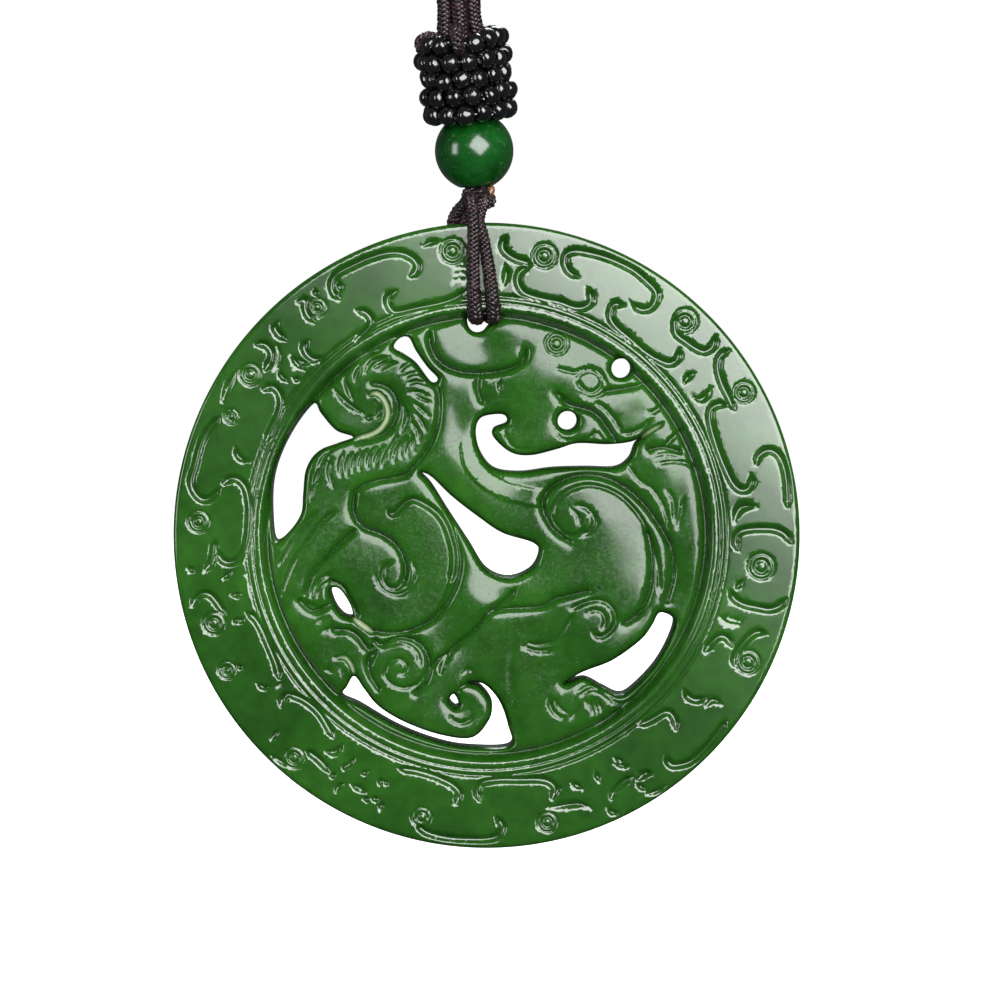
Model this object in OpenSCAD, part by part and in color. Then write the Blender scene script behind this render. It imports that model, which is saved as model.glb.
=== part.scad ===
// Round openwork jade pendant on a doubled braided neck cord, as it hangs when worn.
// Millimetres. +X is to the viewer's right, -Y is the front, +Z is up.
// The origin is the point on the back of the neck where the cord rests.

/* [Disc] */
// Diameter of the disc
disc_d = 50; // [50:1:56]
// Thickness of the rim
disc_t = 5; // [4:0.1:5]
// Rounding of the rim's outer edge
rim_round = 1.2; // [0.6:0.1:1.5]
// How far the carved field lies below the rim
field_drop = 0.25; // [0.1:0.05:0.6]
// Diameter of the cord hole
cord_hole_d = 2.8; // [2.8:0.1:3]
// Width of the two fine grooves along the rim's inner side
ring_groove_w = 0.4; // [0.2:0.05:0.5]

/* [Green bead] */
// Diameter of the green bead
bead_d = 6.1; // [5.8:0.1:6.1]
// Diameter of its drilled hole
bead_bore_d = 2; // [1.9:0.05:2.2]

/* [Seed bead barrel] */
// Diameter of one seed bead
seed_d = 1.44; // [1.42:0.01:1.5]
// Seed beads in a row
seed_count = 14; // [14:1:14]
// Distance between rows
row_pitch = 1.47; // [1.4:0.01:1.5]
// Diameter of the knotted cord inside the barrel
core_d = 4.1; // [4:0.05:4.2]
// How far the barrel leans to the viewer's left
lean_left = 6.5; // [0:0.5:8]
// How far the top of the barrel leans to the front
lean_front = 10; // [6:1:12]

/* [Cords] */
// Diameter of the braided neck cord
neck_cord_d = 1.15; // [0.9:0.05:1.15]
// Diameter of the strands through the disc, pulled thinner by the load
bail_cord_d = 1.05; // [0.8:0.05:1.05]
// Diameter of the cord bundle inside the green bead
bundle_d = 1.7; // [1.4:0.1:1.7]
// Sides of a swept cord
cord_sides = 8; // [8:1:8]

/* [Hidden] */
$fn = 64;

jade = "#3a6b2c";
dark_cord = "#3a2630";
black_glass = "#141416";

// Centre of the disc below and in front of the nape
disc_at = [2.2, -134, -250];
// These are measured from the disc's centre
hole_at = [-0.15, 0, 17.6];
bead_at = [-1, 0.3, 30.8];
knot_at = [-0.7, 0.1, 26.95];
knot_turn_r = 0.68;
knot_turn_gap = 0.55;
knot_front = -1.1;
knot_back = 1.3;

half_t = disc_t / 2;
disc_r = disc_d / 2;
field_y = half_t - field_drop;

// Distances along the barrel's axis from the middle of the green bead
core_bottom = -3;
core_shoulder = 3.15;
core_top = 8.6;
first_row = 9.15;
// Radius of each row through the middles of its beads, from the top row down
row_radius = [2.95, 3.15, 2.95, 3.15, 3.1];
// Where a row's first bead stands, in steps of one bead
row_start = [0.25, 0.75, 0.25, 0.75, 0.25];

// The outlines were drawn by hand on a grid with x to the right and y down.
// The grid's disc is 627 units across, with its centre at (487, 535).
grid_units = 627 / 50;
grid_centre = [487, 535];
function from_grid(p) = [(p[0] - grid_centre[0]) / grid_units,
    (grid_centre[1] - p[1]) / grid_units];

// Openings of the carving, each a smooth closed line through its points
slot_by_curl = [[393, 346], [399, 337], [409, 336], [416, 349], [428, 366],
    [438, 377], [431, 381], [416, 362], [404, 353]];
left_crescent = [[314, 402], [321, 412], [336, 429], [353, 436], [336, 443],
    [317, 451], [306, 468], [303, 492], [301, 512], [290, 529], [275, 540],
    [271, 515], [272, 480], [281, 450], [297, 421]];
gap_under_head = [[482, 416], [503, 413], [507, 421], [494, 427], [494, 436],
    [511, 451], [531, 454], [557, 448], [578, 442], [609, 443], [633, 440],
    [645, 433], [636, 443], [630, 457], [616, 466], [586, 466], [553, 467],
    [520, 471], [494, 467], [480, 450], [476, 430]];
gap_under_neck = [[421, 472], [431, 475], [452, 495], [479, 516], [503, 532],
    [534, 542], [539, 553], [530, 569], [508, 577], [486, 568], [469, 542],
    [448, 510], [431, 483]];
small_gap_left = [[330, 589], [339, 588], [350, 604], [352, 616], [343, 615],
    [334, 604]];
bottom_crescent = [[354, 676], [364, 689], [378, 706], [404, 722], [440, 735],
    [472, 738], [489, 721], [492, 704], [481, 688], [469, 683], [484, 684],
    [499, 700], [508, 724], [510, 747], [470, 749], [436, 743], [397, 728],
    [359, 706], [341, 697], [347, 686]];
drop_gap = [[454, 694], [459, 704], [455, 708], [449, 701]];
right_gap = [[661, 612], [675, 619], [671, 638], [656, 665], [633, 689],
    [620, 695], [604, 688], [585, 679], [565, 684], [583, 672], [613, 660],
    [641, 640], [653, 625]];
openings = [slot_by_curl, left_crescent, gap_under_head, gap_under_neck,
    small_gap_left, bottom_crescent, drop_gap, right_gap];
// Drilled round openings: x, y and radius on the same grid
round_openings = [[622, 367, 10], [568, 419.5, 9.8]];

// Route of the strands through the disc, from the disc's centre.
// Both leave the knot's front, pass the rim, go through the hole and up behind.
left_route = [[-1.25, -1.1, 26.95], [-1.25, -2.4, 26.95], [-1.15, -3.8, 26.3],
    [-1.04, -4.3, 25.2], [-1.04, -4.2, 24.3], [-1.04, -3.9, 23],
    [-1.04, -3.4, 20.8], [-0.95, -3.35, 18.9], [-0.85, -2.9, 18.1],
    [-0.85, -2.2, 17.8], [-0.85, 2.2, 17.8], [-0.9, 2.95, 18.1], [-1.2, 3.4, 19.2],
    [-1.9, 3.5, 21.5], [-2.5, 3.6, 24], [-2.4, 3.3, 25.7], [-1.75, 2.7, 26.7],
    [-1.25, 1.9, 26.95], [-1.25, 1.3, 26.95]];
right_route = [[-0.15, -1.1, 26.95], [-0.15, -1.9, 26.95], [-0.45, -2.6, 26],
    [-0.65, -3, 25.2], [-0.4, -3.2, 24.3], [-0.1, -3.35, 23],
    [0.25, -3.4, 20.8], [0.5, -3.35, 18.9], [0.55, -2.9, 18.1],
    [0.55, -2.2, 17.8], [0.55, 2.2, 17.8], [0.5, 2.95, 18.1], [0.3, 3.4, 19.2],
    [0, 3.5, 21.5], [-0.3, 3.6, 24], [-0.4, 3.3, 25.7], [-0.15, 2.3, 26.95],
    [-0.15, 1.3, 26.95]];

// Where the four strands stand in the barrel: x and y across its axis
strand_spots = [[-1.25, 0], [0, -0.65], [0, 0.65], [1.25, 0]];
// The neck cord's left half, from just above the barrel to the nape
outer_rise_left = [[-1.2, -135.4, -208], [-1.4, -135.3, -205]];
inner_rise_left = [[0.05, -136.05, -208], [-0.1, -136, -205]];
inner_rise_right = [[0, -134.7, -208], [0.15, -134.5, -205]];
outer_rise_right = [[1.25, -135.4, -208], [1.4, -135.3, -205]];
outer_half = [[-2.8, -134.8, -200], [-7, -134, -188], [-33, -125, -128],
    [-47, -113.5, -96.5], [-58.5, -96, -66.5], [-65.5, -74, -42.5],
    [-66.5, -50, -24.8], [-58, -26, -12], [-42, -9.5, -5], [-22, -1.3, -1.9]];
inner_half = [[-1.4, -134.8, -200], [-5.7, -134, -187.5], [-31.8, -125, -127.5],
    [-46, -113.9, -95.7], [-57.9, -96.7, -65.5], [-65.4, -74.8, -41.4],
    [-66.5, -50.7, -23.6], [-58, -26.5, -10.7], [-42, -9.8, -3.7],
    [-22, -1.3, -0.5]];
outer_nape = [0, 0.6, -0.7];
inner_nape = [0, 0.6, 0.65];

function reverse(v) = [for (i = [len(v) - 1 : -1 : 0]) v[i]];
function mirrored(v) = [for (p = v) [-p[0], p[1], p[2]]];
function unit(v) = v / norm(v);

// A point of the smooth line between b and c, t from 0 to 1
function between(a, b, c, d, t) = 0.5 * (2 * b + (c - a) * t
    + (2 * a - 5 * b + 4 * c - d) * t * t
    + (3 * b - 3 * c + d - a) * t * t * t);
function closed_line(v, steps) = [for (i = [0 : len(v) - 1], k = [0 : steps - 1])
    between(v[(i + len(v) - 1) % len(v)], v[i], v[(i + 1) % len(v)],
        v[(i + 2) % len(v)], k / steps)];

// A point given along and across the barrel's axis, in the part's frame
function in_barrel(p) = disc_at + bead_at + turn_y(turn_x(p, lean_front), -lean_left);
function turn_x(p, a) = [p[0], p[1] * cos(a) - p[2] * sin(a),
    p[1] * sin(a) + p[2] * cos(a)];
function turn_y(p, a) = [p[0] * cos(a) + p[2] * sin(a), p[1],
    p[2] * cos(a) - p[0] * sin(a)];

function out_of_barrel(spot) = [in_barrel([spot[0], spot[1], core_top + 0.03]),
    in_barrel([spot[0], spot[1], core_top + 0.9])];
function whole_loop(spot_a, rise_a, half, nape, rise_b, spot_b) = concat(
    out_of_barrel(spot_a), rise_a, half, [nape], reverse(mirrored(half)),
    reverse(rise_b), reverse(out_of_barrel(spot_b)));

// Round tube swept along the points; away is a direction that it never follows
module swept_cord(path, d, away) {
    n = cord_sides;
    m = len(path);
    t = [for (i = [0 : m - 1])
        unit(path[min(i + 1, m - 1)] - path[max(i - 1, 0)])];
    u = [for (i = [0 : m - 1]) unit(cross(t[i], away))];
    v = [for (i = [0 : m - 1]) cross(t[i], u[i])];
    points = [for (i = [0 : m - 1], k = [0 : n - 1])
        path[i] + d / 2 * (cos(360 * k / n) * u[i] + sin(360 * k / n) * v[i])];
    sides = [for (i = [0 : m - 2], k = [0 : n - 1])
        let (a = i * n + k, b = i * n + (k + 1) % n)
        each [[a, a + n, b + n], [a, b + n, b]]];
    start = [[for (k = [0 : n - 1]) k]];
    end = [[for (k = [n - 1 : -1 : 0]) (m - 1) * n + k]];
    polyhedron(points = points, faces = concat(start, end, sides), convexity = 10);
}

// Capsule from a to b
module capsule(a, b, d) {
    v = b - a;
    translate(a) sphere(d = d);
    translate(b) sphere(d = d);
    translate(a)
        rotate([0, acos(v[2] / norm(v)), atan2(v[1], v[0])])
            cylinder(h = norm(v), d = d);
}

module along_barrel() {
    translate(disc_at + bead_at) rotate([0, -lean_left, 0]) rotate([lean_front, 0, 0])
        children();
}

// Quarter circle about a corner, from angle a0 to a0 + 90
function quarter(x, y, r, a0) = [for (k = [0 : 4])
    [x + r * cos(a0 + k * 22.5), y + r * sin(a0 + k * 22.5)]];

module disc_blank() {
    g = ring_groove_w / 2;
    rotate_extrude($fn = 160) polygon(concat(
        [[0, -half_t]],
        quarter(disc_r - rim_round, -half_t + rim_round, rim_round, -90),
        quarter(disc_r - rim_round, half_t - rim_round, rim_round, 0),
        [[19.3 + g, half_t], [19.3, half_t - 0.2], [19.3 - g, half_t],
         [18.6 + g, half_t], [18.6, half_t - 0.2], [18.6 - g, half_t],
         [18.1, half_t], [17.8, field_y], [0, field_y]]));
}

module jade_disc() {
    color(jade) translate(disc_at) rotate([90, 0, 0]) difference() {
        disc_blank();
        for (o = openings)
            linear_extrude(height = disc_t + 2, center = true)
                polygon([for (p = closed_line(o, 2)) from_grid(p)]);
        for (o = round_openings)
            translate(concat(from_grid(o), -half_t - 1))
                cylinder(h = disc_t + 2, r = o[2] / grid_units, $fn = 48);
        translate([hole_at[0], hole_at[2], -half_t - 1])
            cylinder(h = disc_t + 2, d = cord_hole_d);
    }
}

module bail_strand(route) {
    color(dark_cord) translate(disc_at) swept_cord(route, bail_cord_d, [1, 0, 0]);
}

module bail_strand_left() { bail_strand(left_route); }
module bail_strand_right() { bail_strand(right_route); }

module cord_knot() {
    color(dark_cord) translate(disc_at) {
        for (s = [-1, 1])
            translate([knot_at[0] + s * knot_turn_gap, knot_back, knot_at[2]])
                rotate([90, 0, 0]) cylinder(h = knot_back - knot_front, r = knot_turn_r);
        // The cut and melted end that stands up to the right
        capsule([0.05, -0.45, 26.75], [0.36, -0.45, 27.5], 0.84);
    }
}

module jade_bead() {
    color(jade) along_barrel() difference() {
        sphere(d = bead_d, $fn = 96);
        cylinder(h = bead_d + 2, d = bead_bore_d, center = true);
    }
}

module cord_core() {
    color(dark_cord) along_barrel() {
        translate([0, 0, core_bottom]) cylinder(h = core_shoulder - core_bottom + 0.5,
            d = bundle_d);
        translate([0, 0, core_shoulder]) cylinder(h = core_top - core_shoulder,
            d = core_d);
    }
}

module seed_row(i) {
    color(black_glass) along_barrel() translate([0, 0, first_row - i * row_pitch])
        for (k = [0 : seed_count - 1])
            rotate([0, 0, (k + row_start[i]) * 360 / seed_count])
                translate([row_radius[i], 0, 0]) sphere(d = seed_d, $fn = 32);
}

module seed_row_1() { seed_row(0); }
module seed_row_2() { seed_row(1); }
module seed_row_3() { seed_row(2); }
module seed_row_4() { seed_row(3); }
module seed_row_5() { seed_row(4); }

// The loop lies near a plane that slopes down to the front
loop_away = [0, 0.85, -0.53];

module neck_strand_outer() {
    color(dark_cord) swept_cord(whole_loop(strand_spots[0], outer_rise_left, outer_half,
        outer_nape, outer_rise_right, strand_spots[3]), neck_cord_d, loop_away);
}

module neck_strand_inner() {
    color(dark_cord) swept_cord(whole_loop(strand_spots[1], inner_rise_left, inner_half,
        inner_nape, inner_rise_right, strand_spots[2]), neck_cord_d, loop_away);
}

jade_disc();
bail_strand_left();
bail_strand_right();
cord_knot();
jade_bead();
cord_core();
seed_row_1();
seed_row_2();
seed_row_3();
seed_row_4();
seed_row_5();
neck_strand_outer();
neck_strand_inner();
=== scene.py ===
# Jade pendant on a beaded, braided neck cord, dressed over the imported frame
import bpy
import bmesh
import math
import numpy as np
from mathutils import Matrix, Quaternion, Vector, noise


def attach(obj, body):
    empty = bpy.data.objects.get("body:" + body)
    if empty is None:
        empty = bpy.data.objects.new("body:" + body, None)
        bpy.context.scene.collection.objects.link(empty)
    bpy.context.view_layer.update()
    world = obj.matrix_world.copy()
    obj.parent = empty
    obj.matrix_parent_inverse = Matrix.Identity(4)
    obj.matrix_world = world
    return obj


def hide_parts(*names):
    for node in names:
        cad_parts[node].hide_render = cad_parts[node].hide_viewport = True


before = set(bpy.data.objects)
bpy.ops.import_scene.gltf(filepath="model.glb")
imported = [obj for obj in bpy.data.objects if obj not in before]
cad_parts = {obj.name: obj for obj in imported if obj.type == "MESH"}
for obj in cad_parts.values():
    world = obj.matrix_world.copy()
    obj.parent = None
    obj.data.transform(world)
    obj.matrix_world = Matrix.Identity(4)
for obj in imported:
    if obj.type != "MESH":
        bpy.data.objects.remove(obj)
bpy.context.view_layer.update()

mm = 0.001
discRadius = 25.0  # mm
discCentre = Vector((2.2, -134, -250)) * mm  # middle of the disc
beadCentre = discCentre + Vector((-1, 0.3, 30.8)) * mm
barrelFrame = (Matrix.Translation(beadCentre) @ Matrix.Rotation(math.radians(-6.5), 4, "Y")
               @ Matrix.Rotation(math.radians(10), 4, "X") @ Matrix.Scale(mm, 4))


# Camera, floor and lights: places and sizes in mm
studio = {
    "lookAt": (3.27, -136.5, -247.08),  # what the middle of the picture shows
    "pictureWidth": 79.74,  # across the picture at that depth
    "lens": 150, "sensor": 36,
    "elevation": 2.5,
    "skyShown": 1.0,  # what the camera sees
    "skyFill": 0.09, "skyColour": (0.93, 0.97, 1, 1),  # what lights the pieces
    "floorGap": 14,  # between the disc's lowest point and the floor
    "floorHalf": 4000,
    "floorLook": {"Base Color": (0.86, 0.86, 0.85, 1), "Roughness": 0.9,
                  "Specular IOR Level": 0.1, "Emission Color": (1, 1, 1, 1),
                  "Emission Strength": 0.97},
    "softboxes": [
        {"name": "keySoftbox", "at": (133, -600, -95), "aim": (-1, -136, -246),
         "size": (420, 391), "glow": 12.5, "roll": -41},
        {"name": "leftSoftbox", "at": (-400, -380, -190), "aim": (0, -136, -245),
         "size": (130, 220), "glow": 9.0, "roll": 0},
        {"name": "backSoftbox", "at": (60, 330, 260), "aim": (0, -134, -250),
         "size": (420, 420), "glow": 6.5, "roll": 0},
    ],
}


def makeCamera(s):
    camData = bpy.data.cameras.new("productCamera")
    camData.lens = s["lens"]
    camData.sensor_width = s["sensor"]
    camData.clip_start = 0.005
    camData.clip_end = 50
    cam = bpy.data.objects.new("productCamera", camData)
    bpy.context.scene.collection.objects.link(cam)
    up = math.radians(s["elevation"])
    back = Vector((0, -math.cos(up), math.sin(up)))
    target = Vector(s["lookAt"]) * mm
    cam.location = target + back * (s["pictureWidth"] * mm * s["lens"] / s["sensor"])
    cam.rotation_mode = "QUATERNION"
    cam.rotation_quaternion = (-back).to_track_quat("-Z", "Y")
    bpy.context.scene.camera = cam


def softbox(name, at, aim, size, glow, roll):
    lampData = bpy.data.lights.new(name, "AREA")
    lampData.shape = "RECTANGLE"
    lampData.size, lampData.size_y = size[0] * mm, size[1] * mm
    lampData.energy = glow * math.pi * lampData.size * lampData.size_y
    lamp = bpy.data.objects.new(name, lampData)
    bpy.context.scene.collection.objects.link(lamp)
    lamp.location = Vector(at) * mm
    away = lamp.location - Vector(aim) * mm
    lamp.rotation_mode = "QUATERNION"
    lamp.rotation_quaternion = (away.to_track_quat("Z", "Y")
                                @ Quaternion((0, 0, 1), math.radians(roll)))
    lamp.visible_camera = False


def makeSky(s):
    world = bpy.data.worlds.new("paleStudio")
    bpy.context.scene.world = world
    world.use_nodes = True
    tree = world.node_tree
    tree.nodes.clear()
    shown = addNode(tree, "Background", {"Color": (1, 1, 1, 1), "Strength": s["skyShown"]})
    fill = addNode(tree, "Background", {"Color": s["skyColour"], "Strength": s["skyFill"]})
    path = addNode(tree, "LightPath", {})
    mix = addNode(tree, "MixShader", {"Fac": path.outputs["Is Camera Ray"],
                                      1: fill.outputs[0], 2: shown.outputs[0]})
    addNode(tree, "OutputWorld", {"Surface": mix.outputs[0]})


def makeFloor(s):
    bm = bmesh.new()
    bmesh.ops.create_grid(bm, x_segments=2, y_segments=2, size=s["floorHalf"] * mm)
    height = discCentre.z - (discRadius + s["floorGap"]) * mm
    bmesh.ops.translate(bm, verts=bm.verts, vec=(0, 0, height))
    floor = addPiece("studio_floor", bm, newMaterial("paleFloor", s["floorLook"])[0], smooth=False)
    floor.visible_diffuse = False
    floor.visible_glossy = False


# Small helpers for pieces and materials
def addPiece(name, bm, material, smooth=True, sharpAngle=None):
    mesh = bpy.data.meshes.new(name)
    bm.to_mesh(mesh)
    bm.free()
    piece = bpy.data.objects.new(name, mesh)
    bpy.context.scene.collection.objects.link(piece)
    mesh.materials.append(material)
    if smooth:
        mesh.shade_smooth()
    if sharpAngle:
        mesh.set_sharp_from_angle(angle=math.radians(sharpAngle))
    return piece


def setSockets(tree, node, values):
    # an output of another node is linked, any other value is set on the socket
    for key, value in values.items():
        if isinstance(value, bpy.types.NodeSocket):
            tree.links.new(value, node.inputs[key])
        else:
            node.inputs[key].default_value = value


def addNode(tree, kind, values):
    node = tree.nodes.new("ShaderNode" + kind)
    setSockets(tree, node, values)
    return node


def newMaterial(name, look):
    # look holds what is the same all over the surface
    material = bpy.data.materials.new(name)
    material.use_nodes = True
    tree = material.node_tree
    shader = tree.nodes["Principled BSDF"]
    setSockets(tree, shader, look)
    return material, tree, shader


def objectPlace(tree):
    return addNode(tree, "TexCoord", {}).outputs["Object"]


def noiseNode(tree, place, scale, detail, rough=0.5, distortion=0):
    values = {"Vector": place, "Scale": scale, "Detail": detail, "Roughness": rough,
              "Distortion": distortion}
    return addNode(tree, "TexNoise", values).outputs["Fac"]


def rampNode(tree, source, stops):
    # a stop is a place and a colour, or a place and a number for a grey
    ramp = addNode(tree, "ValToRGB", {"Fac": source})
    while len(ramp.color_ramp.elements) < len(stops):
        ramp.color_ramp.elements.new(0.5)
    for element, (place, colour) in zip(ramp.color_ramp.elements, stops):
        element.position = place
        element.color = (*colour, 1) if isinstance(colour, tuple) else (colour, colour, colour, 1)
    return ramp.outputs["Color"]


def bumpNode(tree, height, strength, distance, normal=None):
    values = {"Height": height, "Strength": strength, "Distance": distance}
    if normal:
        values["Normal"] = normal
    return addNode(tree, "Bump", values).outputs["Normal"]


def mixColour(tree, factor, a, b, kind="MIX"):
    mix = tree.nodes.new("ShaderNodeMix")
    mix.data_type = "RGBA"
    mix.blend_type = kind
    a, b = [c if isinstance(c, bpy.types.NodeSocket) else (*c, 1) for c in (a, b)]
    setSockets(tree, mix, {"Factor": factor, 6: a, 7: b})  # 6 and 7 are the two colours
    return mix.outputs[2]


def mapRange(tree, value, span, result):
    values = {"Value": value, "From Min": span[0], "From Max": span[1],
              "To Min": result[0], "To Max": result[1]}
    return addNode(tree, "MapRange", values).outputs["Result"]


def multiplyAdd(tree, value, factor, more):
    node = tree.nodes.new("ShaderNodeMath")
    node.operation = "MULTIPLY_ADD"
    setSockets(tree, node, {0: value, 1: factor, 2: more})
    return node.outputs["Value"]


def distanceFrom(tree, place, centre):
    node = tree.nodes.new("ShaderNodeVectorMath")
    node.operation = "DISTANCE"
    setSockets(tree, node, {0: place, 1: centre})
    return node.outputs["Value"]


def attributeNode(tree, name):
    node = tree.nodes.new("ShaderNodeAttribute")
    node.attribute_name = name
    return node.outputs["Fac"]


makeCamera(studio)
makeSky(studio)
makeFloor(studio)
for box in studio["softboxes"]:
    softbox(**box)
print("camera, floor and lights are set")


# Carving of the disc. Every point is on the grid of the part's source:
# x to the right, y down, 12.54 units to a millimetre, the disc's middle at (487, 535).
grid = {"perMm": 12.54, "middle": (487, 535), "cell": 0.5, "low": (166, 214), "cells": 1284}

openings = [
    [(393, 346), (399, 337), (409, 336), (416, 349), (428, 366), (438, 377), (431, 381),
     (416, 362), (404, 353)],
    [(314, 402), (321, 412), (336, 429), (353, 436), (336, 443), (317, 451), (306, 468),
     (303, 492), (301, 512), (290, 529), (275, 540), (271, 515), (272, 480), (281, 450),
     (297, 421)],
    [(482, 416), (503, 413), (507, 421), (494, 427), (494, 436), (511, 451), (531, 454),
     (557, 448), (578, 442), (609, 443), (633, 440), (645, 433), (636, 443), (630, 457),
     (616, 466), (586, 466), (553, 467), (520, 471), (494, 467), (480, 450), (476, 430)],
    [(421, 472), (431, 475), (452, 495), (479, 516), (503, 532), (534, 542), (539, 553),
     (530, 569), (508, 577), (486, 568), (469, 542), (448, 510), (431, 483)],
    [(330, 589), (339, 588), (350, 604), (352, 616), (343, 615), (334, 604)],
    [(354, 676), (364, 689), (378, 706), (404, 722), (440, 735), (472, 738), (489, 721),
     (492, 704), (481, 688), (469, 683), (484, 684), (499, 700), (508, 724), (510, 747),
     (470, 749), (436, 743), (397, 728), (359, 706), (341, 697), (347, 686)],
    [(454, 694), (459, 704), (455, 708), (449, 701)],
    [(467.8, 316), (470, 312), (476, 310.5), (484.5, 311.5), (493, 310.5), (498, 312.5),
     (499, 316), (496.5, 319.3), (491, 321.2), (487.5, 324), (483.5, 328.8),
     (478, 330.8), (472.6, 329.6), (468.6, 325), (467.2, 319)],
    [(661, 612), (675, 619), (671, 638), (656, 665), (633, 689), (620, 695), (604, 688),
     (585, 679), (565, 684), (583, 672), (613, 660), (641, 640), (653, 625)],
]
roundOpenings = [(622, 367, 10), (568, 419.5, 9.8)]

# Strokes cut with a wide round gouge
wideStrokes = [
    [(278, 321), (276, 327), (280, 333), (286, 338)],
    [(299, 301), (306, 299), (306, 306), (309, 314), (315, 320)],
    [(309, 339), (305, 346), (309, 354), (316, 358), (324, 356)],
    [(257, 343), (266, 343), (272, 350), (272, 358), (266, 368)],
    [(264, 388), (273, 385), (280, 392), (282, 402), (279, 414), (273, 426), (267, 439)],
    [(220, 416), (208, 430), (201, 445), (196, 465), (192, 480), (196, 492), (204, 498),
     (213, 495), (220, 487)],
    [(358, 309), (366, 311), (371, 316), (372, 322), (366, 330), (356, 339)],
    [(340, 297), (334, 291), (333, 281), (339, 272), (352, 265), (370, 257), (388, 252),
     (402, 252), (413, 257), (418, 264), (416, 271), (411, 275)],
    [(396, 290), (389, 296), (389, 303), (394, 310), (402, 310), (420, 306), (440, 302),
     (455, 297), (466, 290)],
    [(507, 236), (503, 243), (505, 250), (514, 257), (526, 261), (533, 263)],
    [(530, 265), (521, 270), (518, 279), (522, 289), (530, 294), (545, 298), (560, 301),
     (574, 306), (584, 306), (591, 301), (591, 294), (588, 288)],
    [(578, 276), (569, 270), (565, 261), (567, 253), (576, 250), (590, 252), (605, 256),
     (620, 262), (635, 270), (648, 281), (656, 290), (656, 299), (650, 307), (641, 308),
     (633, 303)],
    [(624, 304), (615, 303), (611, 309), (611, 317), (617, 326), (630, 337), (645, 350),
     (658, 358), (670, 362), (678, 357), (679, 348)],
    [(676, 314), (675, 324), (677, 333), (686, 340), (696, 347), (705, 350), (713, 345),
     (715, 335)],
    [(729, 349), (721, 354), (718, 362), (719, 372), (723, 384), (729, 396), (734, 408)],
    [(727, 404), (719, 403), (712, 407), (710, 415), (712, 427), (716, 441), (721, 455),
     (727, 469), (733, 481), (740, 488), (747, 488), (752, 482), (752, 474)],
    [(757, 463), (759, 455), (765, 450), (772, 449), (779, 454), (784, 464), (787, 478),
     (788, 492), (788, 505)],
    [(738, 548), (736, 538), (740, 531), (748, 528), (762, 527), (776, 528), (786, 533),
     (791, 541)],
    [(731, 590), (736, 598), (745, 603), (758, 606), (770, 608), (780, 605), (787, 598)],
    [(706, 650), (713, 641), (721, 635), (728, 637), (733, 645)],
    [(735, 664), (737, 653), (743, 644), (750, 636), (758, 631), (766, 632)],
    [(686, 690), (690, 696), (697, 699), (706, 697)],
    [(640, 724), (652, 719), (664, 712), (671, 712), (676, 719), (677, 728)],
    [(668, 756), (672, 764), (682, 764), (693, 760), (704, 750), (716, 736), (727, 720)],
    [(480, 800), (478, 790), (483, 782), (500, 779), (520, 779), (540, 779), (551, 782),
     (556, 789), (553, 798)],
    [(400, 768), (415, 770), (430, 774), (445, 780), (455, 786), (460, 793), (457, 803)],
    [(417, 824), (425, 831), (435, 835), (450, 838), (465, 839), (485, 839), (498, 836),
     (503, 826), (497, 817)],
    [(612, 798), (616, 790), (624, 782), (633, 776)],
    [(639, 779), (646, 773), (653, 773)],
    [(288, 693), (300, 697), (311, 704), (320, 713), (327, 724), (333, 736)],
    [(306, 750), (314, 755), (322, 762), (329, 771)],
    [(281, 705), (283, 697), (289, 692)],
    [(215, 538), (214, 552), (211, 562), (206, 568)],
    [(218, 549), (221, 557), (228, 561), (236, 559), (242, 553), (247, 543), (249, 528),
     (250, 512), (249, 498), (246, 486), (239, 478), (231, 477), (224, 482)],
    [(193, 604), (197, 596), (204, 592), (211, 594), (218, 602), (225, 613)],
    [(247, 611), (255, 617), (262, 628), (267, 640), (272, 652), (277, 665), (279, 677)],
    [(327, 751), (336, 751), (342, 744)],
    [(389, 509), (391, 512), (396, 511), (401, 506), (407, 500), (415, 498), (426, 503),
     (438, 512), (446, 524), (451, 538), (454, 552), (454, 567), (451, 580)],
    [(563, 394), (568, 402), (577, 406), (589, 409), (599, 415), (606, 425), (612, 434),
     (617, 441)],
    [(516, 588), (509, 598), (497, 606), (488, 611)],
    [(377, 650), (370, 659), (369, 667)],
    [(452, 652), (445, 661), (441, 672)],
]

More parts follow.
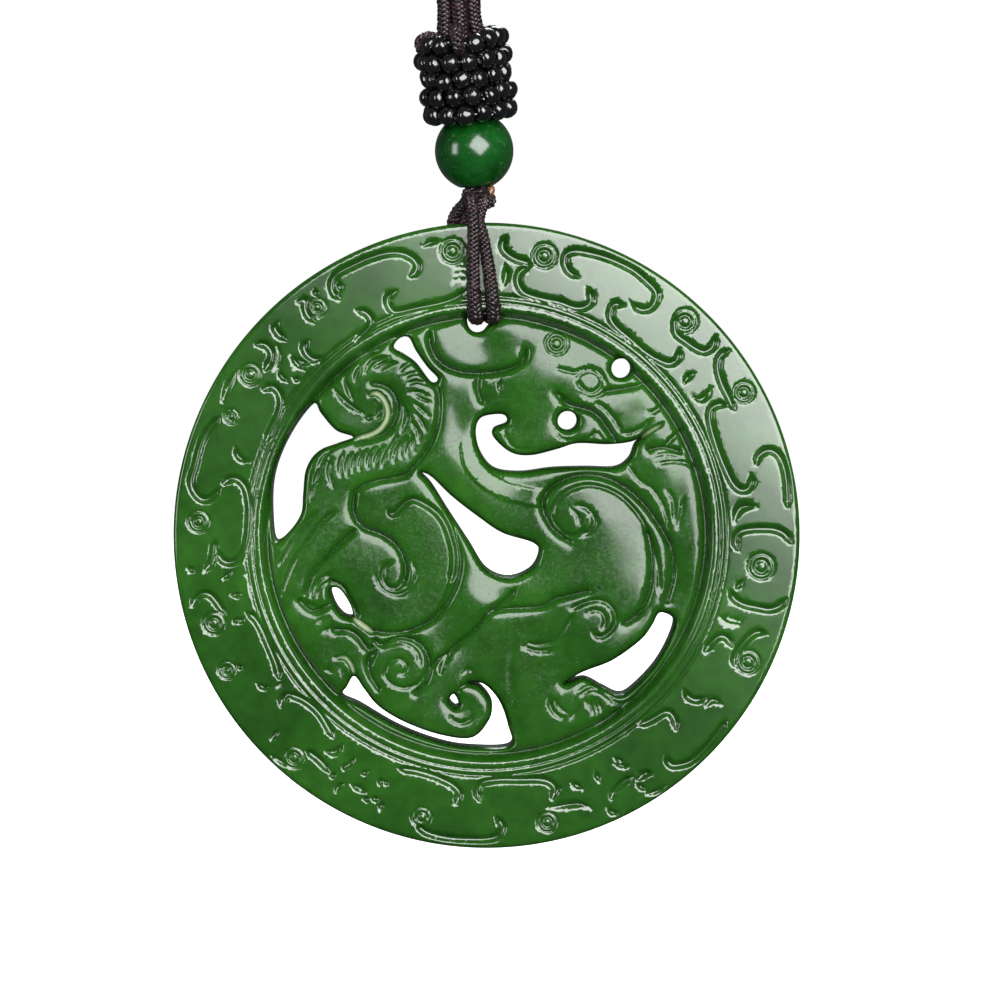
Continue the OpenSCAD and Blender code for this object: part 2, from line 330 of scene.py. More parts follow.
# Single grooves: half width on the grid's scale, depth as a multiple of the line cut's, points
lines = [
    (3.4, 3.0, [(567, 538), (556, 530), (548, 518), (543, 506), (544, 496), (551, 487),
                (562, 480), (576, 475), (590, 474), (605, 477), (620, 483), (634, 493),
                (646, 505), (656, 518), (665, 533), (673, 548)]),
    (2.6, 2.4, [(584, 530), (576, 534), (567, 533), (559, 526), (553, 517), (553, 508),
                (558, 499), (568, 490), (580, 485), (592, 484), (606, 487), (620, 494),
                (632, 505), (642, 518), (650, 535), (656, 553), (659, 570), (660, 590)]),
    (3.2, 2.4, [(577, 505), (586, 506), (593, 513), (595, 522), (590, 530), (582, 534)]),
    (2.6, 2.0, [(572, 507), (578, 514), (580, 523)]),
    (3.0, 2.6, [(356, 490), (354, 505), (356, 517), (364, 526), (380, 532), (393, 540),
                (402, 553), (406, 568), (404, 580), (397, 587), (388, 586), (383, 577),
                (385, 566), (392, 561)]),
    (2.4, 1.8, [(412, 558), (416, 572), (411, 586), (401, 593), (390, 592), (381, 585),
                (376, 574)]),
    (2.4, 1.8, [(451, 580), (448, 592), (442, 605), (434, 615), (424, 623), (412, 629),
                (403, 630)]),
    (4.4, 3.2, [(430, 331), (430, 341), (435, 354), (446, 365), (463, 371), (481, 372),
                (499, 370), (513, 366), (523, 359), (526, 349)]),
    (2.0, 1.4, [(432, 326), (445, 323), (455, 320)]),
    (2.2, 1.6, [(530, 323), (545, 325), (556, 329), (567, 333), (580, 338), (600, 348)]),
    (2.6, 2.2, [(556, 366), (565, 369), (575, 371), (585, 368), (596, 369), (603, 375),
                (607, 384)]),
    (2.4, 2.2, [(577, 378), (582, 372), (590, 370), (598, 373), (602, 380), (598, 388),
                (590, 391), (582, 386), (577, 378)]),
    (2.0, 1.6, [(581, 391), (590, 396), (600, 394), (606, 388)]),
    (3.0, 2.4, [(596, 400), (607, 409), (616, 420), (621, 431)]),
    (3.0, 2.2, [(621, 432), (632, 431), (643, 426), (652, 418)]),
    (3.0, 2.2, [(648, 412), (655, 410), (663, 404)]),
    (2.4, 1.8, [(505, 430), (508, 438), (513, 445), (521, 448), (531, 448)]),
    (2.0, 1.6, [(556, 430), (562, 437), (572, 438), (579, 433)]),
    (2.4, 1.6, [(588, 438), (597, 432), (603, 438)]),
    (2.0, 1.4, [(610, 468), (620, 472)]),
    (2.4, 1.8, [(628, 462), (634, 472), (641, 480), (650, 485)]),
    (2.2, 1.8, [(650, 484), (660, 497), (667, 513), (670, 530)]),
    (2.2, 1.8, [(667, 487), (674, 500), (675, 520)]),
    (2.2, 1.8, [(684, 497), (682, 512), (678, 526)]),
    (2.4, 1.8, [(655, 451), (668, 450), (683, 451)]),
    (2.4, 1.8, [(655, 457), (668, 455), (680, 457)]),
    (2.6, 2.2, [(658, 462), (675, 460), (690, 463), (698, 470)]),
    (2.8, 2.2, [(317, 510), (302, 527), (292, 541), (283, 557), (279, 567)]),
    (2.8, 2.2, [(336, 510), (321, 522), (308, 541), (296, 557), (287, 576), (281, 594)]),
    (2.0, 1.4, [(309, 537), (301, 548), (294, 559)]),
    (2.6, 2.2, [(311, 598), (314, 586), (322, 577), (334, 573)]),
    (2.2, 1.8, [(317, 597), (321, 587), (328, 581), (336, 580)]),
    (2.2, 1.8, [(326, 588), (333, 582), (342, 585), (350, 597), (357, 611)]),
    (2.2, 1.6, [(315, 613), (328, 608)]),
    (2.2, 1.6, [(317, 622), (328, 616)]),
    (2.2, 1.6, [(322, 632), (331, 626)]),
    (3.4, 2.4, [(303, 594), (307, 602), (319, 607)]),
    (2.8, 2.2, [(334, 631), (347, 631), (358, 638), (366, 649)]),
    (2.2, 1.6, [(341, 667), (344, 673), (347, 684)]),
    (2.2, 1.6, [(322, 667), (333, 672)]),
    (2.2, 1.6, [(320, 684), (334, 695)]),
    (2.4, 1.6, [(388, 645), (399, 642), (410, 645), (418, 653), (420, 663)]),
    (2.6, 2.0, [(428, 668), (420, 681), (407, 687), (393, 684), (385, 674), (389, 663),
                (399, 658), (407, 664), (405, 672), (399, 674)]),
    (2.4, 1.8, [(449, 714), (453, 720), (461, 723), (470, 720), (475, 713)]),
    (2.4, 1.6, [(464, 674), (468, 669), (472, 670)]),
    (2.4, 2.2, [(456, 694), (460, 688), (467, 684), (474, 684)]),
    (2.6, 2.0, [(500, 699), (508, 718), (516, 736)]),
    (3.0, 2.4, [(524, 645), (533, 649), (543, 650), (554, 649)]),
    (2.4, 1.9, [(526, 642), (538, 644), (549, 642), (558, 636), (566, 626), (573, 613)]),
    (3.0, 2.6, [(572, 608), (584, 602), (597, 599), (608, 602), (615, 611), (616, 622),
                (609, 632), (600, 636), (594, 631)]),
    (2.6, 2.0, [(586, 613), (595, 609), (603, 612), (606, 620), (603, 628)]),
    (5.2, 0.65, [(515, 645), (511, 664), (512, 690), (516, 718), (521, 742)]),
    (2.8, 2.2, [(550, 698), (552, 708), (558, 715), (564, 717)]),
    (2.4, 2.0, [(556, 700), (561, 708), (567, 712)]),
    (2.4, 1.8, [(582, 702), (578, 711), (571, 718)]),
    (2.6, 2.0, [(577, 689), (585, 684), (594, 683), (602, 687)]),
    (2.6, 2.2, [(582, 695), (590, 689), (600, 690), (608, 695), (616, 702), (626, 703),
                (640, 697), (650, 688)]),
    (2.0, 1.6, [(586, 698), (589, 707)]), (2.0, 1.6, [(590, 699), (595, 715)]),
    (2.0, 1.6, [(595, 699), (599, 714)]), (2.0, 1.6, [(599, 699), (603, 712)]),
    (2.2, 1.8, [(596, 731), (603, 724), (612, 717), (621, 709)]),
    (1.4, 0.8, [(455, 261), (466, 261)]), (1.4, 0.8, [(455, 266), (466, 266)]),
    (1.4, 0.8, [(456, 272), (466, 272)]), (1.4, 0.8, [(455, 278), (466, 278)]),
    (2.0, 1.6, [(277, 343), (280, 352), (279, 360), (276, 368)]),
    (2.2, 1.4, [(721, 616), (729, 622), (740, 623)]),
    (1.8, 1.2, [(726, 614), (733, 618), (742, 619)]),
    (2.0, 1.2, [(244, 571), (250, 575)]), (2.0, 1.2, [(276, 686), (282, 682), (285, 674)]),
]

# Short tapered cuts, as a gouge leaves them: half width, then the points
leaves = [
    (2.6, [(316, 288), (317, 295)]), (3.2, [(293, 353), (296, 360), (305, 368)]),
    (2.4, [(299, 357), (304, 361), (310, 362)]), (3.6, [(237, 368), (230, 383), (223, 400)]),
    (2.6, [(281, 368), (282, 374), (288, 380)]), (2.2, [(294, 376), (301, 380)]),
    (3.4, [(236, 446), (238, 453), (243, 458), (249, 459)]), (3.0, [(340, 280), (341, 291)]),
    (2.4, [(424, 245), (432, 241), (441, 240)]), (4.2, [(505, 264), (507, 273), (504, 284)]),
    (3.4, [(684, 382), (688, 376), (694, 371)]),
    (4.0, [(694, 396), (701, 398), (707, 393), (710, 386)]),
    (5.4, [(735, 520), (738, 511), (744, 505), (757, 505)]), (2.6, [(188, 566), (195, 570)]),
    (2.8, [(223, 577), (232, 570)]), (2.6, [(231, 594), (242, 593)]),
    (2.4, [(234, 622), (239, 616)]), (2.2, [(239, 622), (244, 616)]),
    (2.6, [(219, 669), (225, 666), (232, 664)]), (2.2, [(236, 664), (243, 667)]),
    (3.0, [(257, 682), (263, 686), (270, 686)]), (3.0, [(271, 739), (278, 729)]),
    (3.4, [(271, 755), (279, 760), (288, 766)]), (2.4, [(344, 770), (346, 762)]),
    (2.6, [(346, 768), (355, 757)]), (2.2, [(331, 778), (335, 772)]),
    (2.6, [(336, 792), (339, 786), (345, 783)]), (3.4, [(351, 784), (359, 788), (367, 792)]),
    (2.4, [(364, 799), (369, 799)]), (2.6, [(371, 798), (379, 799)]),
    (2.2, [(380, 809), (383, 802)]), (2.4, [(380, 785), (382, 777)]),
    (2.2, [(384, 780), (388, 784)]), (2.2, [(362, 774), (368, 770)]),
    (2.2, [(476, 788), (480, 800)]), (2.2, [(558, 791), (561, 786)]),
    (3.2, [(572, 782), (583, 788)]), (2.4, [(597, 771), (600, 781)]),
    (4.2, [(549, 808), (560, 806), (572, 804), (582, 804), (592, 808)]),
    (2.4, [(616, 757), (625, 763)]), (2.4, [(616, 764), (630, 766)]),
    (2.6, [(638, 783), (646, 790)]), (2.8, [(609, 807), (613, 812), (620, 813)]),
    (3.0, [(648, 794), (658, 791), (669, 784)]), (3.2, [(707, 705), (714, 699), (723, 703)]),
    (2.4, [(737, 588), (743, 579)]), (3.4, [(335, 389), (345, 399), (355, 407), (364, 412)]),
    (2.6, [(344, 376), (349, 388), (354, 402)]), (2.0, [(355, 380), (360, 364)]),
    (2.4, [(366, 371), (373, 360), (390, 355)]), (2.0, [(374, 367), (383, 362), (391, 357)]),
    (2.2, [(379, 369), (390, 362), (398, 361)]), (2.2, [(360, 360), (372, 352), (381, 349)]),
    (2.2, [(366, 418), (373, 414)]), (2.4, [(376, 416), (380, 410), (382, 403)]),
    (3.0, [(404, 404), (407, 412), (407, 420), (402, 431)]),
    (2.0, [(501, 378), (500, 391)]), (2.8, [(664, 445), (673, 437), (680, 430)]),
]

# Cuts across the rope-like tail
tailCuts = [
    [(331, 457), (329, 470), (333, 486)], [(343, 451), (340, 463), (341, 475)],
    [(352, 451), (347, 462), (348, 474)], [(360, 450), (354, 460), (353, 470)],
    [(367, 448), (361, 458), (360, 468)], [(375, 446), (369, 456), (368, 466)],
    [(384, 445), (377, 455), (375, 464)], [(391, 444), (386, 454), (383, 465)],
    [(398, 433), (392, 445), (389, 456)], [(402, 438), (397, 449), (394, 460)],
    [(406, 436), (402, 446), (401, 455)], [(410, 438), (408, 447), (408, 455)],
    [(413, 434), (413, 442), (414, 449)], [(412, 421), (418, 430), (419, 439)],
    [(416, 412), (422, 420), (426, 429)], [(416, 402), (423, 409), (430, 415)],
    [(414, 393), (422, 397), (431, 401)], [(410, 391), (420, 391), (430, 395)],
    [(408, 383), (417, 380), (427, 383)], [(405, 376), (413, 372), (421, 372)],
    [(400, 370), (406, 364), (413, 361)], [(334, 447), (324, 456), (318, 468)],
    [(326, 460), (318, 472), (314, 486)], [(320, 478), (313, 488), (311, 500)],
]

# Valleys where one form meets the next
formLines = [
    [(430, 378), (438, 388), (440, 405), (437, 428), (428, 448), (414, 466), (405, 474),
     (392, 477), (375, 480), (362, 485), (355, 491)],
    [(356, 440), (372, 437), (386, 431), (395, 420), (398, 406), (395, 394), (386, 385),
     (374, 382)],
    [(355, 491), (353, 505), (356, 518), (364, 527), (380, 533), (393, 541), (402, 553),
     (406, 568), (404, 580)],
    [(448, 511), (455, 527), (459, 545), (461, 562), (458, 580), (452, 594), (444, 607),
     (434, 618), (420, 626), (404, 631), (388, 632), (374, 630)],
    [(375, 640), (382, 644), (396, 637), (410, 638), (421, 644), (428, 655), (430, 668),
     (426, 682), (416, 692)],
    [(372, 646), (368, 660), (370, 674), (378, 688)],
    [(430, 668), (438, 660), (448, 652), (462, 640), (478, 626), (490, 612), (505, 608),
     (524, 607), (543, 605), (556, 598), (572, 594), (588, 590)],
    [(334, 629), (348, 629), (360, 637), (368, 649)],
    [(357, 614), (350, 598), (342, 585), (331, 580)],
    [(354, 530), (338, 545), (324, 560), (312, 574), (306, 592)],
    [(300, 600), (312, 610), (330, 604)],
    [(543, 500), (551, 487), (565, 478), (590, 473), (615, 480), (640, 498), (660, 524),
     (672, 548), (674, 575), (668, 600)],
    [(543, 500), (545, 513), (552, 526), (562, 535), (570, 540)],
    [(648, 532), (652, 550), (653, 570), (650, 592), (640, 612), (626, 622)],
    [(430, 331), (430, 341), (435, 354), (446, 365), (463, 371), (481, 372), (499, 370),
     (513, 366), (523, 359), (526, 349)],
    [(480, 372), (478, 386), (482, 400)],
    [(558, 392), (566, 402), (580, 406), (596, 412), (606, 424), (616, 438)],
    [(606, 390), (620, 388), (636, 385), (652, 380), (668, 385)],
    [(650, 448), (664, 446), (680, 450)],
]

# Narrow deep cuts where light from behind would come through; that light is painted, as a paler
# stone colour and a glow. Half width, strength, points
thinCuts = [
    (1.6, 1.0, [(370, 393), (377, 392), (384, 398), (388, 408), (387, 418), (380, 428),
                (369, 434), (356, 437)]),
    (2.2, 1.0, [(353, 617), (362, 624), (373, 632)]),
    (1.8, 0.6, [(336, 657), (345, 657), (351, 664), (355, 675)]),
    (1.6, 0.55, [(640, 438), (650, 430), (664, 422)]),
]

# Concentric rings drilled as eyes: x, y, size
ringEyes = [
    (318, 306, 0.72), (251, 373, 0.86), (453, 250, 1.0), (544.5, 255, 1.0), (685, 320, 1.0),
    (557, 342, 0.95), (744, 391, 0.86), (762, 565, 1.05), (749, 661, 0.95), (214, 622, 0.9),
    (199, 520, 0.86), (294, 757, 0.84), (227, 669, 0.7), (422, 817, 0.8), (548, 822, 0.8),
    (232, 415, 0.6),
]

# Forms that stand higher or lower than their neighbours: x, y, spread x, spread y, mm
swells = [
    (545, 370, 46, 34, 0.1), (585, 560, 52, 60, 0.08), (400, 570, 42, 42, 0.06),
    (400, 668, 26, 26, 0.05), (370, 408, 26, 22, -0.16), (678, 590, 16, 48, -0.22),
    (300, 640, 20, 34, -0.12), (680, 470, 16, 34, -0.1), (520, 640, 20, 24, -0.04),
    (690, 430, 18, 22, -0.16), (455, 645, 22, 14, -0.08), (640, 430, 18, 14, 0.05),
]

# Faces that lean: x, y, spread, how far to the right and how far up they look
leans = [
    (452, 354, 50, 0.035, 0.035), (520, 402, 46, -0.04, -0.06), (638, 398, 40, -0.04, -0.03),
    (492, 478, 26, 0.07, 0.06), (484, 590, 20, 0.1, 0.09),
    (497, 337, 26, -0.07, -0.07), (404, 482, 26, -0.06, -0.06), (432, 520, 30, -0.02, -0.02),
    (656, 476, 38, -0.12, -0.06), (530, 655, 80, -0.05, -0.05),
    (468, 424, 20, -0.08, -0.04), (358, 402, 32, -0.06, -0.05), (612, 596, 30, -0.03, -0.04),
    (574, 538, 74, -0.05, -0.05), (446, 474, 26, -0.06, -0.04), (372, 500, 30, -0.03, -0.05),
    (447, 412, 20, 0.12, 0.02), (400, 690, 50, -0.03, -0.03), (572, 630, 38, -0.06, -0.06),
    (420, 550, 44, -0.02, -0.025), (412, 404, 28, -0.06, -0.03),
    (346, 640, 18, -0.06, -0.05), (408, 655, 20, -0.05, -0.05), (476, 700, 16, -0.06, -0.05),
]

# Flat bands that stand up from the form around them: half width, mm, points
ridges = [
    (8.5, 0.11, [(470, 436), (470, 448), (472, 460), (480, 472), (489, 480), (499, 486),
                 (510, 491), (521, 493), (534, 496), (546, 497)]),
]

# How the cuts are made: deep in mm, widths and the runs at a stroke's ends on the grid's scale.
# blunt keeps the very end of a stroke from running out to nothing
cuts = {
    "step": 1.5,  # between the points of a stroke
    "margin": 3,  # looked at on each side of it
    "wide": {"deep": 0.27, "half": 4.9, "run": 9, "blunt": 0.45},
    "line": {"deep": 0.075, "wider": 0.9, "run": 8, "blunt": 0.3},
    "leaf": {"deep": 0.25, "wider": 1.2, "blunt": 0.06, "power": 0.6},
    "tail": {"deep": 0.2, "half": 2.6, "blunt": 0.05, "power": 0.7},
    "thin": {"deep": 0.5, "wider": 1.4, "thinWider": 1.6, "run": 10, "blunt": 0.25},
    "ridge": {"step": 3, "run": 14, "soft": 1.8},
    "valley": {"deep": 0.055, "half": 3.4, "within": 220, "fade": 6},
    "rimRings": [(240.2, 2.9, 0.17), (233.6, 2.2, 0.13)],  # radius, half width, mm deep
    "eyeRings": [(6, 3.0, 0.19), (12, 2.1, 0.12)],  # the same, for an eye of size 1
    "eyeReach": 16,
}

disc = {
    "halfThick": 2.5,
    "frontRound": 0.35, "backRound": 0.45, "backEase": 0.16, "openingRound": 0.34,
    "rimFrom": 24.5,  # mm from the middle; an outline farther out is the rim's
    "slopeTop": 18.15, "slopeFoot": 17.45,  # the step down from the rim to the figure
    "fieldLow": -0.93, "formHeight": 0.69,
    "formSoft": 0.2, "domeSoft": 3.6, "domeShare": 0.11,  # how a form falls off at its edge
    "fallShares": (0.6, 0.7, 0.8),  # towards a valley, an opening and the step
    "farReach": 46, "far": 60,  # grid units
    "hollowBlur": 60, "hollowDeep": 0.12,  # how far below its surroundings a full hollow lies
    "mapNudge": 0.9,  # grid units into the stone, where the outline's normals are read
    "rimPoints": 640, "outlineStep": 2.6, "passes": 20,  # from here on, of the mesh
    "fineEdge": 1.5, "coarseEdge": 5.5, "bend": 0.015, "grow": 0.3, "growPasses": 14,
    "splitAt": 1.5, "sharpAngle": 50,
}


def between(a, b, c, d, t):
    return 0.5 * (2 * b + (c - a) * t + (2 * a - 5 * b + 4 * c - d) * t * t
                  + (3 * b - 3 * c + d - a) * t * t * t)


def smoothLine(points, step, closed=False):
    p = [np.array(q, float) for q in points]
    n = len(p)
    line = []
    for i in range(n if closed else n - 1):
        if closed:
            a, b, c, d = p[i - 1], p[i], p[(i + 1) % n], p[(i + 2) % n]
        else:
            a, b, c, d = p[max(i - 1, 0)], p[i], p[i + 1], p[min(i + 2, n - 1)]
        pieces = max(2, int(math.ceil(np.linalg.norm(c - b) / step)))
        line += [between(a, b, c, d, k / pieces) for k in range(pieces)]
    if not closed:
        line.append(p[-1])
    return np.array(line)


def emptyMap(value=0.0):
    return np.full((grid["cells"], grid["cells"]), value, np.float32)


def windowOf(low, high):
    # rows and columns of the map that cover a box on the grid, with their places
    x0, y0 = grid["low"]
    c, n = grid["cell"], grid["cells"]
    i0, i1 = max(0, int((low[0] - x0) / c)), min(n, int((high[0] - x0) / c) + 2)
    j0, j1 = max(0, int((low[1] - y0) / c)), min(n, int((high[1] - y0) / c) + 2)
    xs = x0 + c * np.arange(i0, i1)
    ys = y0 + c * np.arange(j0, j1)
    return (slice(j0, j1), slice(i0, i1)), xs[None, :], ys[:, None]


def cellsBetween(low, high, first):
    c = grid["cell"]
    return slice(max(0, int((low - first) / c)), max(0, int((high - first) / c) + 2))


def lineDistance(line, reach, closed=False):
    # the map's window around a line, each place's distance to the line, how far along
    # the line its nearest point is, and the line's length
    area, xs, ys = windowOf(line.min(0) - reach, line.max(0) + reach)
    best = np.full((ys.shape[0], xs.shape[1]), 1e6, np.float32)
    along = np.zeros_like(best)
    ends = np.roll(line, -1, axis=0) if closed else line[1:]
    starts = line if closed else line[:-1]
    lengths = np.linalg.norm(ends - starts, axis=1)
    run = np.concatenate([[0], np.cumsum(lengths)])
    for k, (a, b) in enumerate(zip(starts, ends)):
        if lengths[k] < 1e-6:
            continue
        low, high = np.minimum(a, b) - reach, np.maximum(a, b) + reach
        i = cellsBetween(low[0], high[0], xs[0, 0])
        j = cellsBetween(low[1], high[1], ys[0, 0])
        dx, dy = xs[:, i] - a[0], ys[j] - a[1]
        v = (b - a) / lengths[k]
        t = np.clip(dx * v[0] + dy * v[1], 0, lengths[k])
        d = np.hypot(dx - t * v[0], dy - t * v[1])
        nearer = d < best[j, i]
        best[j, i] = np.where(nearer, d, best[j, i])
        along[j, i] = np.where(nearer, run[k] + t, along[j, i])
    return area, best, along, run[-1]


def nearestLine(found, d, closed=False):
    # distance to the nearest of several lines, all over the map
    nearest = emptyMap(d["far"])
    for line in found:
        area, dist, _, _ = lineDistance(line, d["farReach"], closed)
        nearest[area] = np.minimum(nearest[area], dist)
    return nearest


def bowl(d, half):
    # a rounded groove: 1 in the middle, 0 at its half width and beyond
    return np.where(d < half, (1 - np.minimum(d / half, 1) ** 2) ** 1.5, 0)


def vee(d, half):
    # a cut with nearly straight sides
    return np.clip(1 - d / half, 0, 1) ** 1.1


def endTaper(along, total, run, blunt=0):
    # a stroke that grows to its full depth over the run at each end
    return np.clip(np.minimum(along, total - along) / run + blunt, 0, 1)


def leafTaper(along, total, kind):
    # a stroke that swells to its middle, as a leaf does
    blunt = kind["blunt"]
    return np.sin(math.pi * np.clip(along / total, blunt, 1 - blunt)) ** kind["power"]


def deepen(a, area, shape):
    a[area] = np.maximum(a[area], shape)


def roundedDrop(past, radius):
    # how far a rounded edge has fallen at a place that is past the start of its rounding
    fall = np.clip(past, 0, radius)
    return radius - np.sqrt(np.maximum(radius ** 2 - fall ** 2, 0))


def softBlur(a, times):
    for _ in range(times):
        a[1:-1] = (a[:-2] + 2 * a[1:-1] + a[2:]) / 4
        a[:, 1:-1] = (a[:, :-2] + 2 * a[:, 1:-1] + a[:, 2:]) / 4
    return a


def outlineLines(step):
    outlines = [smoothLine(o, step, closed=True) for o in openings]
    for x, y, r in roundOpenings:
        n = max(24, int(2 * math.pi * r / step))
        a = np.linspace(0, 2 * math.pi, n, endpoint=False)
        outlines.append(np.stack([x + r * np.cos(a), y + r * np.sin(a)], 1))
    return outlines


def figureHeight(d, xs, ys, fromMiddle, form, edge):
    # rounded forms that fall off to the valleys, the openings and the step
    per = grid["perMm"]
    toStep = np.maximum(d["slopeFoot"] * per - fromMiddle, 0)
    soft, dome = d["formSoft"] * per, d["domeSoft"] * per
    rise = 1
    for dist, share in zip((form, edge, toStep), d["fallShares"]):
        crease = (1 - d["domeShare"]) * np.exp(-dist / soft)
        broad = d["domeShare"] * np.clip(1 - dist / dome, 0, 1) ** 2
        rise = rise * (1 - share * (crease + broad))
    figure = d["fieldLow"] + d["formHeight"] * rise
    for x, y, sx, sy, lift in swells:
        figure += lift * np.exp(-((xs - x) / sx) ** 2 - ((ys - y) / sy) ** 2)
    for x, y, spread, right, up in leans:
        blob = np.exp(-((xs - x) ** 2 + (ys - y) ** 2) / spread ** 2)
        figure -= blob * (right * (xs - x) - up * (ys - y)) / per
    kind = cuts["ridge"]
    for half, lift, points in ridges:
        line = smoothLine(points, kind["step"])
        area, dist, along, total = lineDistance(line, half + cuts["margin"])
        band = np.clip((half - dist) / kind["soft"] + 0.5, 0, 1)
        figure[area] += lift * endTaper(along, total, kind["run"]) * band
    return np.minimum(figure, -0.01)


def nearStroke(points, half):
    return lineDistance(smoothLine(points, cuts["step"]), half + cuts["margin"])


def strokeCuts(fromMiddle, form):
    # how deep the gouge went, and how thin the stone is left, which marks where the painted
    # backlight goes
    kind = cuts["valley"]
    cut = (kind["deep"] * vee(form, kind["half"])
           * np.clip((kind["within"] - fromMiddle) / kind["fade"], 0, 1))
    for ringAt, half, deep in cuts["rimRings"]:
        cut = np.maximum(cut, deep * vee(np.abs(fromMiddle - ringAt), half))
    kind = cuts["wide"]
    for points in wideStrokes:
        area, dist, along, total = nearStroke(points, kind["half"])
        taper = endTaper(along, total, kind["run"], kind["blunt"])
        deepen(cut, area, taper * kind["deep"] * bowl(dist, kind["half"] * taper))
    kind = cuts["line"]
    for half, deep, points in lines:
        area, dist, along, total = nearStroke(points, half)
        taper = endTaper(along, total, kind["run"], kind["blunt"])
        deepen(cut, area, taper * kind["deep"] * deep * vee(dist, half + kind["wider"]))
    kind = cuts["leaf"]
    for half, points in leaves:
        area, dist, along, total = nearStroke(points, half)
        taper = leafTaper(along, total, kind)
        deepen(cut, area, taper * kind["deep"] * vee(dist, (half + kind["wider"]) * taper))
    kind = cuts["tail"]
    for points in tailCuts:
        area, dist, along, total = nearStroke(points, kind["half"])
        taper = leafTaper(along, total, kind)
        deepen(cut, area, taper * kind["deep"] * vee(dist, kind["half"]))
    reach = cuts["eyeReach"]
    for x, y, size in ringEyes:
        area, ex, ey = windowOf((x - reach, y - reach), (x + reach, y + reach))
        out = np.hypot(ex - x, ey - y) / size
        deepen(cut, area, sum(deep * vee(np.abs(out - ringAt), half)
                              for ringAt, half, deep in cuts["eyeRings"]))
    thin = emptyMap()
    kind = cuts["thin"]
    for half, strength, points in thinCuts:
        area, dist, along, total = nearStroke(points, half)
        taper = endTaper(along, total, kind["run"], kind["blunt"])
        deepen(cut, area, kind["deep"] * strength * taper * bowl(dist, half + kind["wider"]))
        deepen(thin, area, strength * taper * bowl(dist, half + kind["thinWider"]))
    return cut, thin


def carveMaps(d):
    # height of the carved front in mm (0 is the rim's face) and how thin each place is, which
    # marks the painted backlight
    per = grid["perMm"]
    _, xs, ys = windowOf(grid["low"], (1e4, 1e4))
    fromMiddle = np.hypot(xs - grid["middle"][0], ys - grid["middle"][1]).astype(np.float32)
    r = fromMiddle / per
    edge = nearestLine(outlineLines(4), d, closed=True)
    form = nearestLine([smoothLine(points, 4) for points in formLines], d)
    step = np.clip((d["slopeTop"] - r) / (d["slopeTop"] - d["slopeFoot"]), 0, 1)
    step = step * step * (3 - 2 * step)
    height = figureHeight(d, xs, ys, fromMiddle, form, edge) * step
    cut, thin = strokeCuts(fromMiddle, form)
    height -= cut
    height -= roundedDrop(r - (discRadius - d["frontRound"]), d["frontRound"])
    height -= roundedDrop(d["openingRound"] - edge / per, d["openingRound"])
    return softBlur(height, 2), softBlur(thin, 3)


def edgeSizes(height, d):
    # the length that mesh edges should have: short where the surface bends much
    per = grid["perMm"]
    cell = grid["cell"] / per
    bend = emptyMap()
    bend[1:-1, 1:-1] = (np.abs(height[:-2, 1:-1] + height[2:, 1:-1] - 2 * height[1:-1, 1:-1])
                        + np.abs(height[1:-1, :-2] + height[1:-1, 2:]
                                 - 2 * height[1:-1, 1:-1])) / cell ** 2
    size = np.sqrt(8 * d["bend"] / (bend + 1e-4)) * per
    size = np.clip(size, d["fineEdge"], d["coarseEdge"])
    for _ in range(d["growPasses"]):  # spread the fine places a little
        size[1:] = np.minimum(size[1:], size[:-1] + d["grow"])
        size[:-1] = np.minimum(size[:-1], size[1:] + d["grow"])
        size[:, 1:] = np.minimum(size[:, 1:], size[:, :-1] + d["grow"])
        size[:, :-1] = np.minimum(size[:, :-1], size[:, 1:] + d["grow"])
    return size


def readMap(a, x, y):
    # bilinear reading of a map at places on the grid
    u = np.clip((np.asarray(x) - grid["low"][0]) / grid["cell"], 0, grid["cells"] - 2)
    v = np.clip((np.asarray(y) - grid["low"][1]) / grid["cell"], 0, grid["cells"] - 2)
    i, j = u.astype(int), v.astype(int)
    fu, fv = u - i, v - j
    return ((a[j, i] * (1 - fu) + a[j, i + 1] * fu) * (1 - fv)
            + (a[j + 1, i] * (1 - fu) + a[j + 1, i + 1] * fu) * fv)


def filledOutlines(d):
    # the flat face, on the grid's scale
    bm = bmesh.new()
    per = grid["perMm"]
    rim = [(grid["middle"][0] + discRadius * per * math.cos(a),
            grid["middle"][1] + discRadius * per * math.sin(a))
           for a in np.linspace(0, 2 * math.pi, d["rimPoints"], endpoint=False)]
    for line in [np.array(rim)] + outlineLines(d["outlineStep"]):
        loop = [bm.verts.new((x, y, 0)) for x, y in line]
        for a, b in zip(loop, loop[1:] + loop[:1]):
            bm.edges.new((a, b))
    bmesh.ops.triangle_fill(bm, use_beauty=True, edges=bm.edges[:])
    return bm


def refineFace(bm, sizes, d):
    # edges are split until each is as short as the carving under it needs
    low, cell, last = grid["low"], grid["cell"], grid["cells"] - 1
    doubtful = bm.edges[:]
    for passNumber in range(d["passes"]):
        tooLong = []
        for e in doubtful:
            a, b = e.verts[0].co, e.verts[1].co
            i = min(max(int(((a.x + b.x) / 2 - low[0]) / cell), 0), last)
            j = min(max(int(((a.y + b.y) / 2 - low[1]) / cell), 0), last)
            if (a - b).length > d["splitAt"] * sizes[j, i]:
                tooLong.append(e)
        if not tooLong:
            break
        before = len(bm.verts)
        bmesh.ops.subdivide_edges(bm, edges=tooLong, cuts=1)
        bmesh.ops.triangulate(bm, faces=[f for f in bm.faces if len(f.verts) > 3])
        bm.verts.ensure_lookup_table()
        added = bm.verts[before:]
        near = list({f for v in added for f in v.link_faces})
        inner = list({e for f in near for e in f.edges if not e.is_boundary})
        bmesh.ops.beautify_fill(bm, faces=near, edges=inner)
        free = [v for v in added if not v.is_boundary]
        bmesh.ops.smooth_vert(bm, verts=free, factor=0.5, use_axis_x=True, use_axis_y=True,
                              use_axis_z=False)
        doubtful = list({e for v in added for f in v.link_faces for e in f.edges})
    print("disc face:", len(bm.faces), "triangles after", passNumber, "passes")


